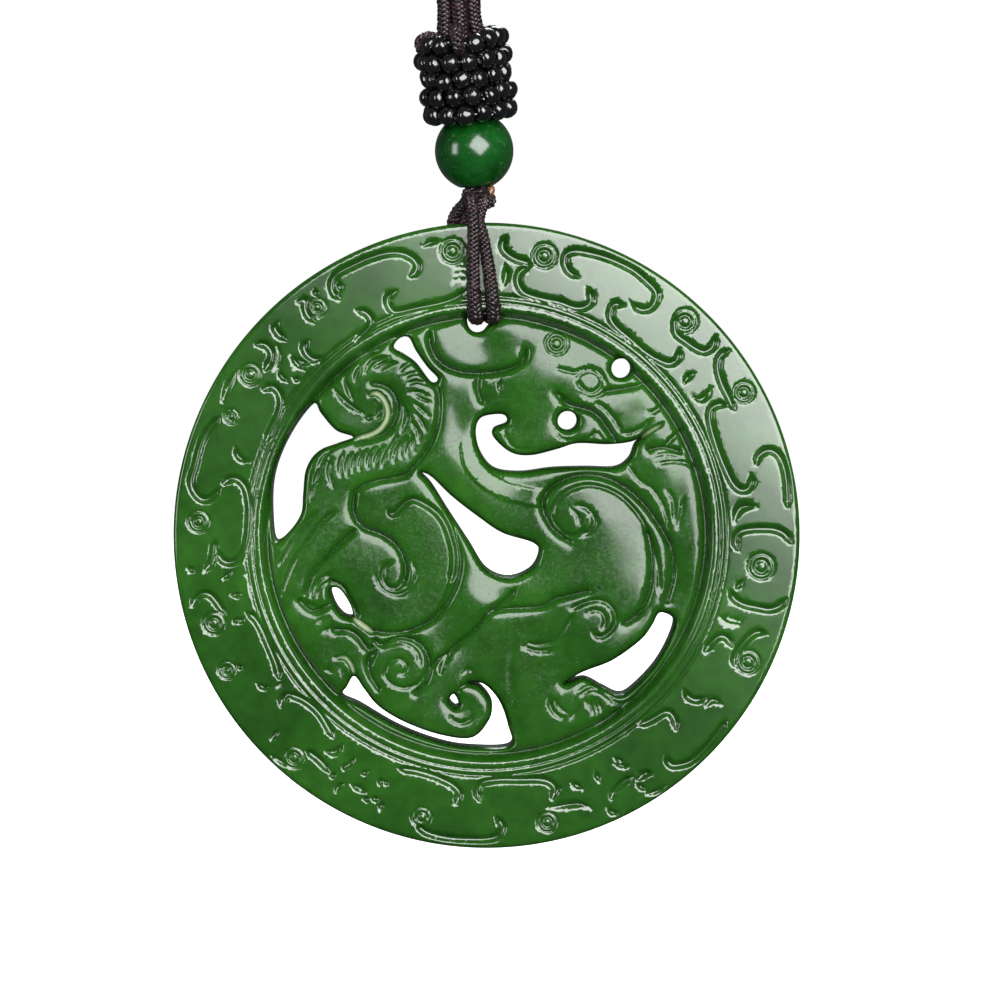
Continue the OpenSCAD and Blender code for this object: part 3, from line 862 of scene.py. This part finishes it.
def markFront(bm, height, thin, d):
    # each point of the face gets its height, and how thin and how hollow the stone is there; these
    # mark the painted backlight and the painted shade
    thinLayer = bm.verts.layers.float.new("thin")
    hollowLayer = bm.verts.layers.float.new("hollow")
    broad = softBlur(height.copy(), d["hollowBlur"])
    places = np.array([v.co[:2] for v in bm.verts])
    x, y = places[:, 0], places[:, 1]
    tall = readMap(height, x, y)
    hollows = np.clip((readMap(broad, x, y) - tall) / d["hollowDeep"], 0, 1)
    thins = readMap(thin, x, y)
    front = {}
    for k, v in enumerate(bm.verts):
        front[v] = float(tall[k])
        v[thinLayer] = float(thins[k])
        v[hollowLayer] = float(hollows[k])
    return front


def intoStone(v):
    # on the outline, the way from the wall into the stone, in the plane of the face
    way = Vector((0, 0, 0))
    for e in v.link_edges:
        if e.is_boundary and e.link_faces:
            f = e.link_faces[0]
            along = (e.verts[1].co - e.verts[0].co).normalized()
            side = Vector((-along.y, along.x, 0))
            if side.dot(f.calc_center_median() - e.verts[0].co) < 0:
                side = -side
            way += side
    return way.normalized()


def wallsAndBack(bm, front, d):
    # straight back from the outline, then a small chamfer and the plain back
    per = grid["perMm"]
    thinLayer = bm.verts.layers.float["thin"]
    hollowLayer = bm.verts.layers.float["hollow"]
    ways = {v: intoStone(v) for e in bm.edges if e.is_boundary for v in e.verts}
    middle = Vector((*grid["middle"], 0))
    ease = {v: d["backRound"] if (v.co - middle).length > d["rimFrom"] * per else d["backEase"]
            for v in ways}  # the rim's back edge is rounded more than the openings' are
    depth = {v: -(d["halfThick"] + front[v]) for v in bm.verts}
    rimEdges = [e for e in bm.edges if e.is_boundary]
    last = 0
    for inset, back in ((0, 1), (0.3, 0.3), (1, 0)):  # shares of the ease
        made = bmesh.ops.extrude_edge_only(bm, edges=rimEdges)["geom"]
        newVerts = [g for g in made if isinstance(g, bmesh.types.BMVert)]
        rimEdges = [g for g in made if isinstance(g, bmesh.types.BMEdge) and g.is_boundary]
        fresh = set(newVerts)
        for v in newVerts:
            others = [e.other_vert(v) for e in v.link_edges]
            source = next(w for w in others if w not in fresh and (w.co - v.co).length < 1e-6)
            ways[v] = ways[source]
            ease[v] = ease[source]
            depth[v] = d["halfThick"] - back * ease[v]
            v[thinLayer] = 0
            v[hollowLayer] = 0
        for v in newVerts:
            v.co += ways[v] * (inset - last) * ease[v] * per
        last = inset
    bmesh.ops.triangle_fill(bm, use_beauty=True, edges=rimEdges)
    for v in bm.verts:
        x, y = v.co.x, v.co.y
        v.co = discCentre + Vector(((x - grid["middle"][0]) / per, depth[v],
                                    (grid["middle"][1] - y) / per)) * mm
    bmesh.ops.recalc_face_normals(bm, faces=bm.faces[:])
    return ways


def placesOnMap(bm, front, ways, d):
    # where each point's normal is read: on the outline a little inside the stone
    per = grid["perMm"]
    places = []
    for v in bm.verts:
        x = grid["middle"][0] + (v.co.x - discCentre.x) / mm * per
        y = grid["middle"][1] - (v.co.z - discCentre.z) / mm * per
        if v in front and v in ways:
            x += ways[v].x * d["mapNudge"]
            y += ways[v].y * d["mapNudge"]
        places.append((x, y, v in front))
    return np.array(places)


def normalsFromMap(mesh, places, height):
    # the front is shaded by the height map, which is finer than the mesh
    downSlope, acrossSlope = np.gradient(height, grid["cell"] / grid["perMm"])
    a = readMap(acrossSlope, places[:, 0], places[:, 1])
    b = readMap(downSlope, places[:, 0], places[:, 1])
    lean = np.stack([-a, -np.ones_like(a), b], 1)  # the face looks along -Y
    lean /= np.linalg.norm(lean, axis=1, keepdims=True)
    normals = np.empty(len(mesh.loops) * 3)
    mesh.corner_normals.foreach_get("vector", normals)
    normals = normals.reshape(-1, 3)
    vertexOf = np.empty(len(mesh.loops), int)
    mesh.loops.foreach_get("vertex_index", vertexOf)
    faceOf = np.repeat(np.arange(len(mesh.polygons)),
                       [len(f.vertices) for f in mesh.polygons])
    onFront = places[:, 2] > 0.5
    frontFace = np.bincount(faceOf, ~onFront[vertexOf], len(mesh.polygons)) == 0
    use = frontFace[faceOf]
    normals[use] = lean[vertexOf[use]]
    mesh.normals_split_custom_set(normals)


def carvedDisc(d, material):
    height, thin = carveMaps(d)
    bm = filledOutlines(d)
    refineFace(bm, edgeSizes(height, d), d)
    front = markFront(bm, height, thin, d)
    ways = wallsAndBack(bm, front, d)
    places = placesOnMap(bm, front, ways, d)
    piece = addPiece("carved_disc", bm, material, sharpAngle=d["sharpAngle"])
    normalsFromMap(piece.data, places, height)
    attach(piece, "pendant")
    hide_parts("jade_disc")
    print("carved disc:", len(piece.data.polygons), "faces")


# Jade: deep green with paler clouds and fine dark specks, painted shade in its cuts, and a painted
# backlight (paler stone and a glow) in its thin places
jade = {
    "look": {"Emission Strength": 0.5, "Subsurface Weight": 0.25,
             "Subsurface Radius": (0.35, 1.0, 0.25), "Subsurface Scale": 0.0008,
             "Specular IOR Level": 0.32, "Coat Roughness": 0.11},
    "clouds": [(0.28, (0.0070, 0.041, 0.003)), (0.52, (0.0120, 0.065, 0.0048)),
               (0.76, (0.021, 0.095, 0.0085))],
    "specks": [(0.3, (0.72, 0.76, 0.7)), (0.62, (1, 1, 1))],
    # painted shade: the colour is darker where the face lies hollow, deep in the cuts
    "shade": [(0, (1, 1, 1)), (1, (0.66, 0.7, 0.66))],  # in the cuts
    "thinness": [(0.2, 0), (0.8, 1)],
    # painted backlight of the thin places: a paler stone colour and an emission glow
    "paintedBacklitStone": (0.14, 0.19, 0.105), "paintedBacklightGlow": (0.4, 0.48, 0.27),
    "gloss": [(0.3, 0.11), (0.7, 0.15)],
    "matte": [(0.44, 0), (0.68, 0.17)],  # small matte spots
    "figureToRim": (0.0174, 0.0184),  # metres from the middle
    "spotted": (1, 0.12), "coat": (0.12, 0.58),  # of the figure, then of the rim
    "cutRough": 0.08,  # the polish doesn't reach into the cuts
}


def jadeMaterial(j):
    material, tree, shader = newMaterial("greenJade", j["look"])
    place = objectPlace(tree)
    clouds = noiseNode(tree, place, scale=95, detail=5, rough=0.58, distortion=0.5)
    specks = noiseNode(tree, place, scale=900, detail=3)
    colour = mixColour(tree, 1.0, rampNode(tree, clouds, j["clouds"]),
                       rampNode(tree, specks, j["specks"]), "MULTIPLY")
    hollow = attributeNode(tree, "hollow")
    # painted shade in the cuts: the colour is darkened where the face is hollow
    colour = mixColour(tree, 1.0, colour, rampNode(tree, hollow, j["shade"]), "MULTIPLY")
    # painted backlight in the thin places: the colour is made paler and an emission glow (strength
    # 0.5) is added, standing in for light through the stone
    thinness = rampNode(tree, attributeNode(tree, "thin"), j["thinness"])
    colour = mixColour(tree, thinness, colour, j["paintedBacklitStone"])
    glow = mixColour(tree, thinness, (0, 0, 0), j["paintedBacklightGlow"])

    apart = distanceFrom(tree, place, discCentre)  # the figure is less polished than the rim
    coat = mapRange(tree, apart, j["figureToRim"], j["coat"])
    spotted = mapRange(tree, apart, j["figureToRim"], j["spotted"])
    gloss = rampNode(tree, noiseNode(tree, place, scale=260, detail=4), j["gloss"])
    spots = noiseNode(tree, place, scale=4600, detail=3, rough=0.7)
    rough = multiplyAdd(tree, spotted, rampNode(tree, spots, j["matte"]), gloss)
    rough = multiplyAdd(tree, hollow, j["cutRough"], rough)

    waves = noiseNode(tree, place, scale=420, detail=3)
    grain = noiseNode(tree, place, scale=8000, detail=2)
    normal = bumpNode(tree, waves, strength=0.05, distance=0.00012)
    normal = bumpNode(tree, grain, strength=0.13, distance=0.00002, normal=normal)
    setSockets(tree, shader, {"Base Color": colour, "Emission Color": glow, "Coat Weight": coat,
                              "Roughness": rough, "Normal": normal})
    return material


# Dark green stone of the round bead, with small pale flecks under the polish
def beadMaterial():
    look = {"Roughness": 0.19, "Subsurface Weight": 0.15, "Subsurface Radius": (0.3, 1.0, 0.3),
            "Subsurface Scale": 0.0006, "Specular IOR Level": 0.36, "Coat Weight": 0.3,
            "Coat Roughness": 0.14}
    material, tree, shader = newMaterial("beadStone", look)
    place = objectPlace(tree)
    clouds = rampNode(tree, noiseNode(tree, place, scale=420, detail=5, rough=0.6),
                      [(0.3, (0.0011, 0.024, 0.002)), (0.55, (0.0026, 0.050, 0.0055)),
                       (0.8, (0.0075, 0.09, 0.012))])
    flecks = rampNode(tree, noiseNode(tree, place, scale=2400, detail=2), [(0.6, 0), (0.75, 0.5)])
    ripple = noiseNode(tree, place, scale=700, detail=2)
    setSockets(tree, shader, {
        "Base Color": mixColour(tree, flecks, clouds, (0.03, 0.12, 0.035)),
        "Normal": bumpNode(tree, ripple, strength=0.12, distance=0.0001)})
    return material


# Black pressed glass, each bead a little uneven
def glassMaterial():
    look = {"Coat Weight": 0.4, "Coat Roughness": 0.1}
    material, tree, shader = newMaterial("blackGlass", look)
    place = objectPlace(tree)
    tone = noiseNode(tree, place, scale=500, detail=3)
    smear = noiseNode(tree, place, scale=1300, detail=3)
    ripple = noiseNode(tree, place, scale=1500, detail=2)
    setSockets(tree, shader, {
        "Base Color": rampNode(tree, tone, [(0.35, (0.0015, 0.0015, 0.002)),
                                            (0.7, (0.005, 0.0042, 0.0046))]),
        "Roughness": rampNode(tree, smear, [(0.35, 0.1), (0.7, 0.24)]),
        "Normal": bumpNode(tree, ripple, strength=0.3, distance=0.00008)})
    return material


# Waxed braiding cord: near-black maroon yarns with fine filaments, and painted pinkish glints
def cordMaterial():
    look = {"Specular IOR Level": 0.5, "Sheen Weight": 0.02, "Sheen Roughness": 0.4,
            "Sheen Tint": (1, 0.8, 0.8, 1)}
    material, tree, shader = newMaterial("maroonCord", look)
    place = objectPlace(tree)
    tone = noiseNode(tree, place, scale=2600, detail=3, rough=0.6)
    fibre = noiseNode(tree, place, scale=9000, detail=2)
    # the dark stops are the yarns' uneven tone; the palest, pinkish stop paints scattered glints
    # on them, painted highlights
    setSockets(tree, shader, {
        "Base Color": rampNode(tree, tone, [(0.36, (0.0022, 0.0008, 0.0012)),
                                            (0.54, (0.0075, 0.0024, 0.0035)),
                                            (0.76, (0.07, 0.027, 0.037))]),
        "Roughness": rampNode(tree, fibre, [(0.3, 0.26), (0.7, 0.46)]),
        "Normal": bumpNode(tree, fibre, strength=0.5, distance=0.00005)})
    return material


# The cord's cut end, melted to a glassy orange-brown drop
def meltedMaterial():
    material, tree, shader = newMaterial("meltedEnd", {"Roughness": 0.2})
    tone = noiseNode(tree, objectPlace(tree), scale=1500, detail=3)
    setSockets(tree, shader, {
        "Base Color": rampNode(tree, tone, [(0.35, (0.035, 0.012, 0.006)),
                                            (0.7, (0.22, 0.085, 0.03))]),
        "Normal": bumpNode(tree, tone, strength=0.4, distance=0.0001)})
    return material


braid = {
    "pitch": 1.4, "farPitch": 2.2,  # mm for one turn of a yarn round the cord
    "yarns": 4,  # each way round
    "middleShare": 0.335, "swing": 0.085, "yarnShare": 0.165,  # of the cord's diameter
    "coreShare": 0.22,
    "looseShare": 0.03, "looseStep": 0.7,  # how uneven a yarn lies, and over how many mm
    "fine": 0.07, "coarse": 0.4,  # mm between a yarn's points, near the disc and far from it
}


def newCurve(name, radius, resolution):
    curve = bpy.data.curves.new(name, "CURVE")
    curve.dimensions = "3D"
    curve.bevel_depth = radius * mm
    curve.bevel_resolution = resolution
    curve.use_fill_caps = True
    return curve


def addSpline(curve, points, radii=None):
    spline = curve.splines.new("POLY")
    spline.points.add(len(points) - 1)
    spline.points.foreach_set("co", np.c_[points * mm, np.ones(len(points))].ravel())
    if radii is not None:
        spline.points.foreach_set("radius", radii)


def cordStops(total, fine, fineTo):
    # places along a cord, close together all the way or up to fineTo from its ends
    stops, s = [0.0], 0.0
    while s < total:
        s += fine if fineTo is None or min(s, total - s) < fineTo else braid["coarse"]
        stops.append(min(s, total))
    return np.array(stops)


def acrossCord(centre):
    # two directions across the cord at each place, carried along without twist
    tangent = np.gradient(centre, axis=0)
    tangent /= np.linalg.norm(tangent, axis=1, keepdims=True)
    side = np.zeros_like(centre)
    side[0] = np.cross(tangent[0], (0.3, 1, 0.2))
    for k in range(len(centre)):
        w = side[max(k - 1, 0)]
        w = w - tangent[k] * w.dot(tangent[k])
        side[k] = w / np.linalg.norm(w)
    return side, np.cross(tangent, side)


# A braided cord: half the yarns go round one way, half the other, over and under
def braidedCord(name, paths, material, thick, fine=braid["fine"], fineTo=None, fuller=None):
    rng = np.random.default_rng(11)
    curve = newCurve(name, braid["yarnShare"] * thick, 1)
    core = newCurve(name + "_inside", braid["coreShare"] * thick, 2)
    n = braid["yarns"]
    for points in paths:
        dense = smoothLine(points, 0.04)
        steps = np.linalg.norm(np.diff(dense, axis=0), axis=1)
        run = np.concatenate([[0], np.cumsum(steps)])
        total = run[-1]
        stops = cordStops(total, fine, fineTo)
        centre = np.stack([np.interp(stops, run, dense[:, k]) for k in range(3)], 1)
        side, other = acrossCord(centre)
        gaps = np.diff(stops)
        near = np.concatenate([[True], gaps < (fine + braid["coarse"]) / 2])
        lay = np.where(near[1:], braid["pitch"], braid["farPitch"])
        turn = 2 * math.pi * np.concatenate([[0], np.cumsum(gaps / lay)])
        girth = np.ones(len(centre))  # the cord spreads where it is bent and pressed
        if fuller:
            pressedAt, spread, more = fuller
            away = np.linalg.norm(centre - np.array(pressedAt), axis=1)
            girth += more * np.exp(-(away / spread) ** 2)
        slack = np.arange(0, total + 1, braid["looseStep"])
        for way in (1, -1):
            for i in range(n):
                angle = way * turn + 2 * math.pi * i / n
                plain = way * np.cos(4 * turn)  # over one, under one
                long = way * np.sin(2 * turn + math.pi / 4 + way * i * math.pi)
                over = np.where(near, plain, long)
                loose = braid["looseShare"] * thick * np.interp(stops, slack,
                                                                rng.normal(size=len(slack)))
                r = girth * (braid["middleShare"] * thick + braid["swing"] * thick * over + loose)
                outward = np.cos(angle)[:, None] * side + np.sin(angle)[:, None] * other
                addSpline(curve, centre + r[:, None] * outward, girth)
        addSpline(core, centre[::3] if len(centre) > 12 else centre)
    bm = bmesh.new()
    for data in (curve, core):
        shown = bpy.data.objects.new(data.name, data)
        mesh = bpy.data.meshes.new_from_object(shown)
        bm.from_mesh(mesh)
        bpy.data.objects.remove(shown)
        bpy.data.meshes.remove(mesh)
        bpy.data.curves.remove(data)
    bmesh.ops.recalc_face_normals(bm, faces=bm.faces[:])
    piece = addPiece(name, bm, material)
    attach(piece, "neck_cord")
    print(name, "has", len(piece.data.polygons), "faces")
    return piece


# The two strands that carry the disc, points in mm from the disc's middle
bail = {
    "thick": 0.92,
    "left": [
        (-1.25, -1.1, 26.95), (-1.25, -2.4, 26.95), (-1.15, -3.8, 26.3), (-1.04, -4.3, 25.2),
        (-1.04, -4.2, 24.3), (-1.04, -3.95, 23), (-1.04, -3.5, 20.8), (-0.98, -3.4, 18.8),
        (-0.92, -2.9, 17.8), (-0.86, -2.2, 17.5), (-0.68, 0, 17.5), (-0.8, 2.2, 17.6),
        (-0.95, 2.95, 17.95), (-1.3, 3.4, 19.2), (-2.2, 3.5, 22.3), (-2.75, 3.6, 24.6),
        (-2.5, 3.2, 25.8), (-1.75, 2.7, 26.7), (-1.25, 1.9, 26.95), (-1.25, 1.3, 26.95),
    ],
    "right": [
        (-0.15, -1.1, 26.95), (-0.15, -1.9, 26.95), (-0.45, -2.6, 26), (-0.65, -3, 25.2),
        (-0.4, -3.3, 24.3), (-0.1, -3.4, 23), (0.25, -3.45, 20.8), (0.5, -3.4, 18.8),
        (0.55, -2.9, 17.8), (0.5, -2.2, 17.5), (0.34, 0, 17.5), (0.45, 2.2, 17.6),
        (0.5, 2.95, 17.95), (0.1, 3.4, 19.2), (-1.25, 3.5, 22.5), (-1.85, 3.6, 24.8),
        (-1.6, 3.2, 26.1), (-0.15, 2.3, 26.95), (-0.15, 1.3, 26.95),
    ],
    "bend": 8,  # the route's point where the strand turns into the hole
    "pressedAt": (-2.4, 17.4), "pressedOver": 3.4, "pressedBy": 0.28,
}


def fromDisc(points):
    c = np.array(discCentre) / mm
    return [c + np.array(p) for p in points]


def bailStrands(b, material):
    for name in ("left", "right"):
        low = fromDisc([(b[name][b["bend"]][0], *b["pressedAt"])])[0]
        piece = braidedCord("bail_braid_" + name, [fromDisc(b[name])], material, b["thick"],
                            fuller=(low, b["pressedOver"], b["pressedBy"]))
        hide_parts("bail_strand_" + name)


# The knot under the bead: the cord wraps over itself, and one cut end is melted
knot = {
    "at": (-0.62, 0.05, 27.05), "wide": 0.85, "deep": 0.7, "tall": 0.42, "cord": 0.95,
    "endAt": (0.3, -0.55, 27.5), "endRadius": 0.34, "endLong": 1.45, "endLean": 0.35,
    "lumps": 0.12, "lumpScale": 2.2,
}


def tiedKnot(k, material, meltedLook):
    loops = []
    for t in np.linspace(0, 2 * math.pi, 49):  # a trefoil
        loops.append((k["at"][0] + k["wide"] * (math.sin(t) + 2 * math.sin(2 * t)) / 2.6,
                      k["at"][1] + k["deep"] * (math.cos(t) - 2 * math.cos(2 * t)) / 2.2,
                      k["at"][2] - k["tall"] * math.sin(3 * t)))
    piece = braidedCord("tied_knot", [fromDisc(loops)], material, k["cord"])
    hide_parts("cord_knot")
    bm = bmesh.new()
    bmesh.ops.create_uvsphere(bm, u_segments=24, v_segments=14, radius=k["endRadius"])
    top = Vector(k["endAt"])
    for v in bm.verts:
        v.co.z *= k["endLong"]
        v.co *= 1 + k["lumps"] * noise.noise(v.co * k["lumpScale"])
        v.co.x += k["endLean"] * v.co.z
        v.co = discCentre + (top + v.co) * mm
    end = addPiece("melted_end", bm, meltedLook)
    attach(end, "neck_cord")


# Round stone bead, turned about its drilled hole
bead = {"radius": 3.15, "bore": 1.0, "lip": 0.16}


def fullTurn(bm, profile, axis, steps):
    # a closed line of points turned into a ring
    edges = [bm.edges.new(pair) for pair in zip(profile, profile[1:] + profile[:1])]
    bmesh.ops.spin(bm, geom=profile + edges, axis=axis, cent=(0, 0, 0), steps=steps,
                   angle=2 * math.pi, use_merge=True)


def greenBead(b, material):
    bm = bmesh.new()
    start = math.asin((b["bore"] + b["lip"]) / b["radius"])
    profile = [(b["radius"] * math.sin(a), b["radius"] * math.cos(a))
               for a in np.linspace(start, math.pi - start, 41)]
    low, high = profile[-1][1], profile[0][1]
    profile += [(b["bore"] + 0.05, low + 0.05), (b["bore"], low + b["lip"])]
    profile += [(b["bore"], low * 0.5), (b["bore"], 0), (b["bore"], high * 0.5)]
    profile += [(b["bore"], high - b["lip"]), (b["bore"] + 0.05, high - 0.05)]
    fullTurn(bm, [bm.verts.new((x, 0, z)) for x, z in profile], (0, 0, 1), 80)
    bmesh.ops.remove_doubles(bm, verts=bm.verts[:], dist=1e-5)
    bmesh.ops.recalc_face_normals(bm, faces=bm.faces[:])
    bmesh.ops.transform(bm, matrix=Matrix.Translation(beadCentre) @ Matrix.Scale(mm, 4),
                        verts=bm.verts)
    piece = addPiece("green_bead", bm, material)
    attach(piece, "neck_cord")
    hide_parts("jade_bead")
    print("green bead is on")


# Five rows of seed beads round the wound core, each on its own thread
barrel = {
    "radii": (2.95, 3.15, 2.95, 3.15, 3.1), "starts": (0.25, 0.75, 0.25, 0.75, 0.25),
    "topRow": 8.95, "rowStep": 1.415, "count": 14, "leftOut": (0, 10),  # row, bead
    "outer": 0.81, "hole": 0.25, "long": 1.32, "corner": 0.5, "thread": 0.17,
    "unevenLong": 0.06, "unevenOuter": 0.03,  # shares
    "shift": 0.13, "tip": 0.42, "yaw": 0.35,  # at most, in mm and radians
}


def connectedTo(ring):
    found = set(ring)
    frontier = list(ring)
    while frontier:
        v = frontier.pop()
        for e in v.link_edges:
            w = e.other_vert(v)
            if w not in found:
                found.add(w)
                frontier.append(w)
    return list(found)


def seedBead(bm, b, place, jitter):
    half = b["long"] / 2 * (1 + b["unevenLong"] * jitter[0])
    out = b["outer"] * (1 - b["unevenOuter"] * abs(jitter[1]))
    c = b["corner"]
    profile = [(half - 0.05, b["hole"]), (half, b["hole"] + 0.1)]
    profile += [(half - c + c * math.cos(a), out - c + c * math.sin(a))
                for a in np.linspace(0.1, math.pi / 2, 6)]
    profile += [(-x, r) for x, r in reversed(profile)]
    ring = [bm.verts.new((x, 0, r)) for x, r in profile]
    fullTurn(bm, ring, (1, 0, 0), 16)
    bmesh.ops.transform(bm, matrix=place, verts=connectedTo(ring))


def rowThread(bm, b, radius, z):
    ring = [bm.verts.new((radius + b["thread"] * math.cos(a), 0, z + b["thread"] * math.sin(a)))
            for a in np.linspace(0, 2 * math.pi, 8, endpoint=False)]
    fullTurn(bm, ring, (0, 0, 1), 56)
    bmesh.ops.transform(bm, matrix=barrelFrame, verts=connectedTo(ring))


def seedRows(b, material):
    rng = np.random.default_rng(7)
    for row, radius in enumerate(b["radii"]):
        bm = bmesh.new()
        z = b["topRow"] - b["rowStep"] * row
        for k in range(b["count"]):
            j = rng.uniform(-1, 1, 6)
            if (row, k) == b["leftOut"]:  # the cord comes through here
                continue
            angle = (k + b["starts"][row]) / b["count"] * 2 * math.pi
            place = (barrelFrame @ Matrix.Rotation(angle, 4, "Z")
                     @ Matrix.Translation((radius + b["shift"] * j[2], 0, z + b["shift"] * j[3]))
                     @ Matrix.Rotation(b["tip"] * j[4], 4, "X")
                     @ Matrix.Rotation(math.pi / 2 + b["yaw"] * j[5], 4, "Z"))
            seedBead(bm, b, place, j)
        rowThread(bm, b, radius, z)
        bmesh.ops.remove_doubles(bm, verts=bm.verts[:], dist=1e-7)
        bmesh.ops.recalc_face_normals(bm, faces=bm.faces[:])
        piece = addPiece("seed_beads_%d" % (row + 1), bm, material)
        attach(piece, "neck_cord")
        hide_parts("seed_row_%d" % (row + 1))
    print("seed beads are on")


# Inside the barrel the cord is wound round itself; four ends leave at the top.
# Places are across and along the barrel's axis, in mm
strandSpots = {"outer": ((-1.25, 0), (1.25, 0)), "inner": ((0, -0.65), (0, 0.65))}
core = {
    "thick": 0.95, "fine": 0.08, "turnRadius": 1.6, "turnFrom": 3.65, "turnRise": 0.86,
    "turns": 4.3, "stubs": (6.8, 7.4, 8.0, 8.6),
    "bundleThick": 1.65, "bundleFine": 0.3, "bundle": (-2.9, 7.2),
    "tuck": [(-1.3, -1.2, 7.6), (-1.8, -1.5, 8.9), (-2.4, -1.5, 9.6), (-3.05, -1.2, 9.4),
             (-3.25, -0.8, 8.75), (-2.6, -0.5, 8.2)],
    "across": [(-0.1, -1.3, 8.5), (-0.25, -1.9, 9.9), (-0.35, -2.8, 10.1),
               (-0.35, -3.45, 9.5), (-0.3, -3.3, 8.75), (-0.2, -2.4, 8.3)],
}


def inBarrel(x, y, z):
    return np.array(barrelFrame @ Vector((x, y, z))) / mm


def woundCore(c, material):
    turns = [inBarrel(c["turnRadius"] * math.cos(a), c["turnRadius"] * math.sin(a),
                      c["turnFrom"] + c["turnRise"] * a / (2 * math.pi))
             for a in np.linspace(0, 2 * math.pi * c["turns"], 100)]
    ends = [[inBarrel(*q) for q in c[way]] for way in ("tuck", "across")]
    stubs = [[inBarrel(x, y, z) for z in c["stubs"]]
             for spots in strandSpots.values() for x, y in spots]
    piece = braidedCord("wound_core", [turns] + ends + stubs, material, c["thick"], c["fine"])
    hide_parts("cord_core")
    bundle = [inBarrel(0, 0, z) for z in np.linspace(*c["bundle"], 12)]
    braidedCord("bead_bundle", [bundle], material, c["bundleThick"], c["bundleFine"])


# Neck strands in mm, in the object's frame: the left half, then its mirror image
neck = {
    "thick": 1.2, "fineTo": 7, "foot": (8.63, 9.5),  # up the barrel's axis
    "outer": {"nape": (0, 0.6, -0.7),
              "left": [(-1.1, -135.4, -208), (-1.3, -135.3, -205)],
              "right": [(1.12, -135.4, -208), (1.25, -135.3, -205)],
              "half": [(-2.8, -134.8, -200), (-7, -134, -188), (-33, -125, -128),
                       (-47, -113.5, -96.5), (-58.5, -96, -66.5), (-65.5, -74, -42.5),
                       (-66.5, -50, -24.8), (-58, -26, -12), (-42, -9.5, -5),
                       (-22, -1.3, -1.9)]},
    "inner": {"nape": (0, 0.6, 0.65),
              "left": [(0.05, -136.05, -208), (-0.1, -136, -205)],
              "right": [(0, -134.7, -208), (0.15, -134.5, -205)],
              "half": [(-1.4, -134.8, -200), (-5.7, -134, -187.5), (-31.8, -125, -127.5),
                       (-46, -113.9, -95.7), (-57.9, -96.7, -65.5), (-65.4, -74.8, -41.4),
                       (-66.5, -50.7, -23.6), (-58, -26.5, -10.7), (-42, -9.8, -3.7),
                       (-22, -1.3, -0.5)]},
}


def neckStrands(n, material):
    for name, spots in strandSpots.items():
        route = n[name]
        first, last = [[inBarrel(x, y, z) for z in n["foot"]] for x, y in spots]
        mirrored = [(-x, y, z) for x, y, z in reversed(route["half"])]
        loop = (first + route["left"] + route["half"] + [route["nape"]] + mirrored
                + route["right"][::-1] + last[::-1])
        piece = braidedCord("neck_braid_" + name, [loop], material, n["thick"],
                            fineTo=n["fineTo"])
        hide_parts("neck_strand_" + name)


maroonCord = cordMaterial()
neckStrands(neck, maroonCord)
bailStrands(bail, maroonCord)
tiedKnot(knot, maroonCord, meltedMaterial())
woundCore(core, maroonCord)
greenBead(bead, beadMaterial())
seedRows(barrel, glassMaterial())
carvedDisc(disc, jadeMaterial(jade))

bpy.context.scene.view_settings.view_transform = "Standard"
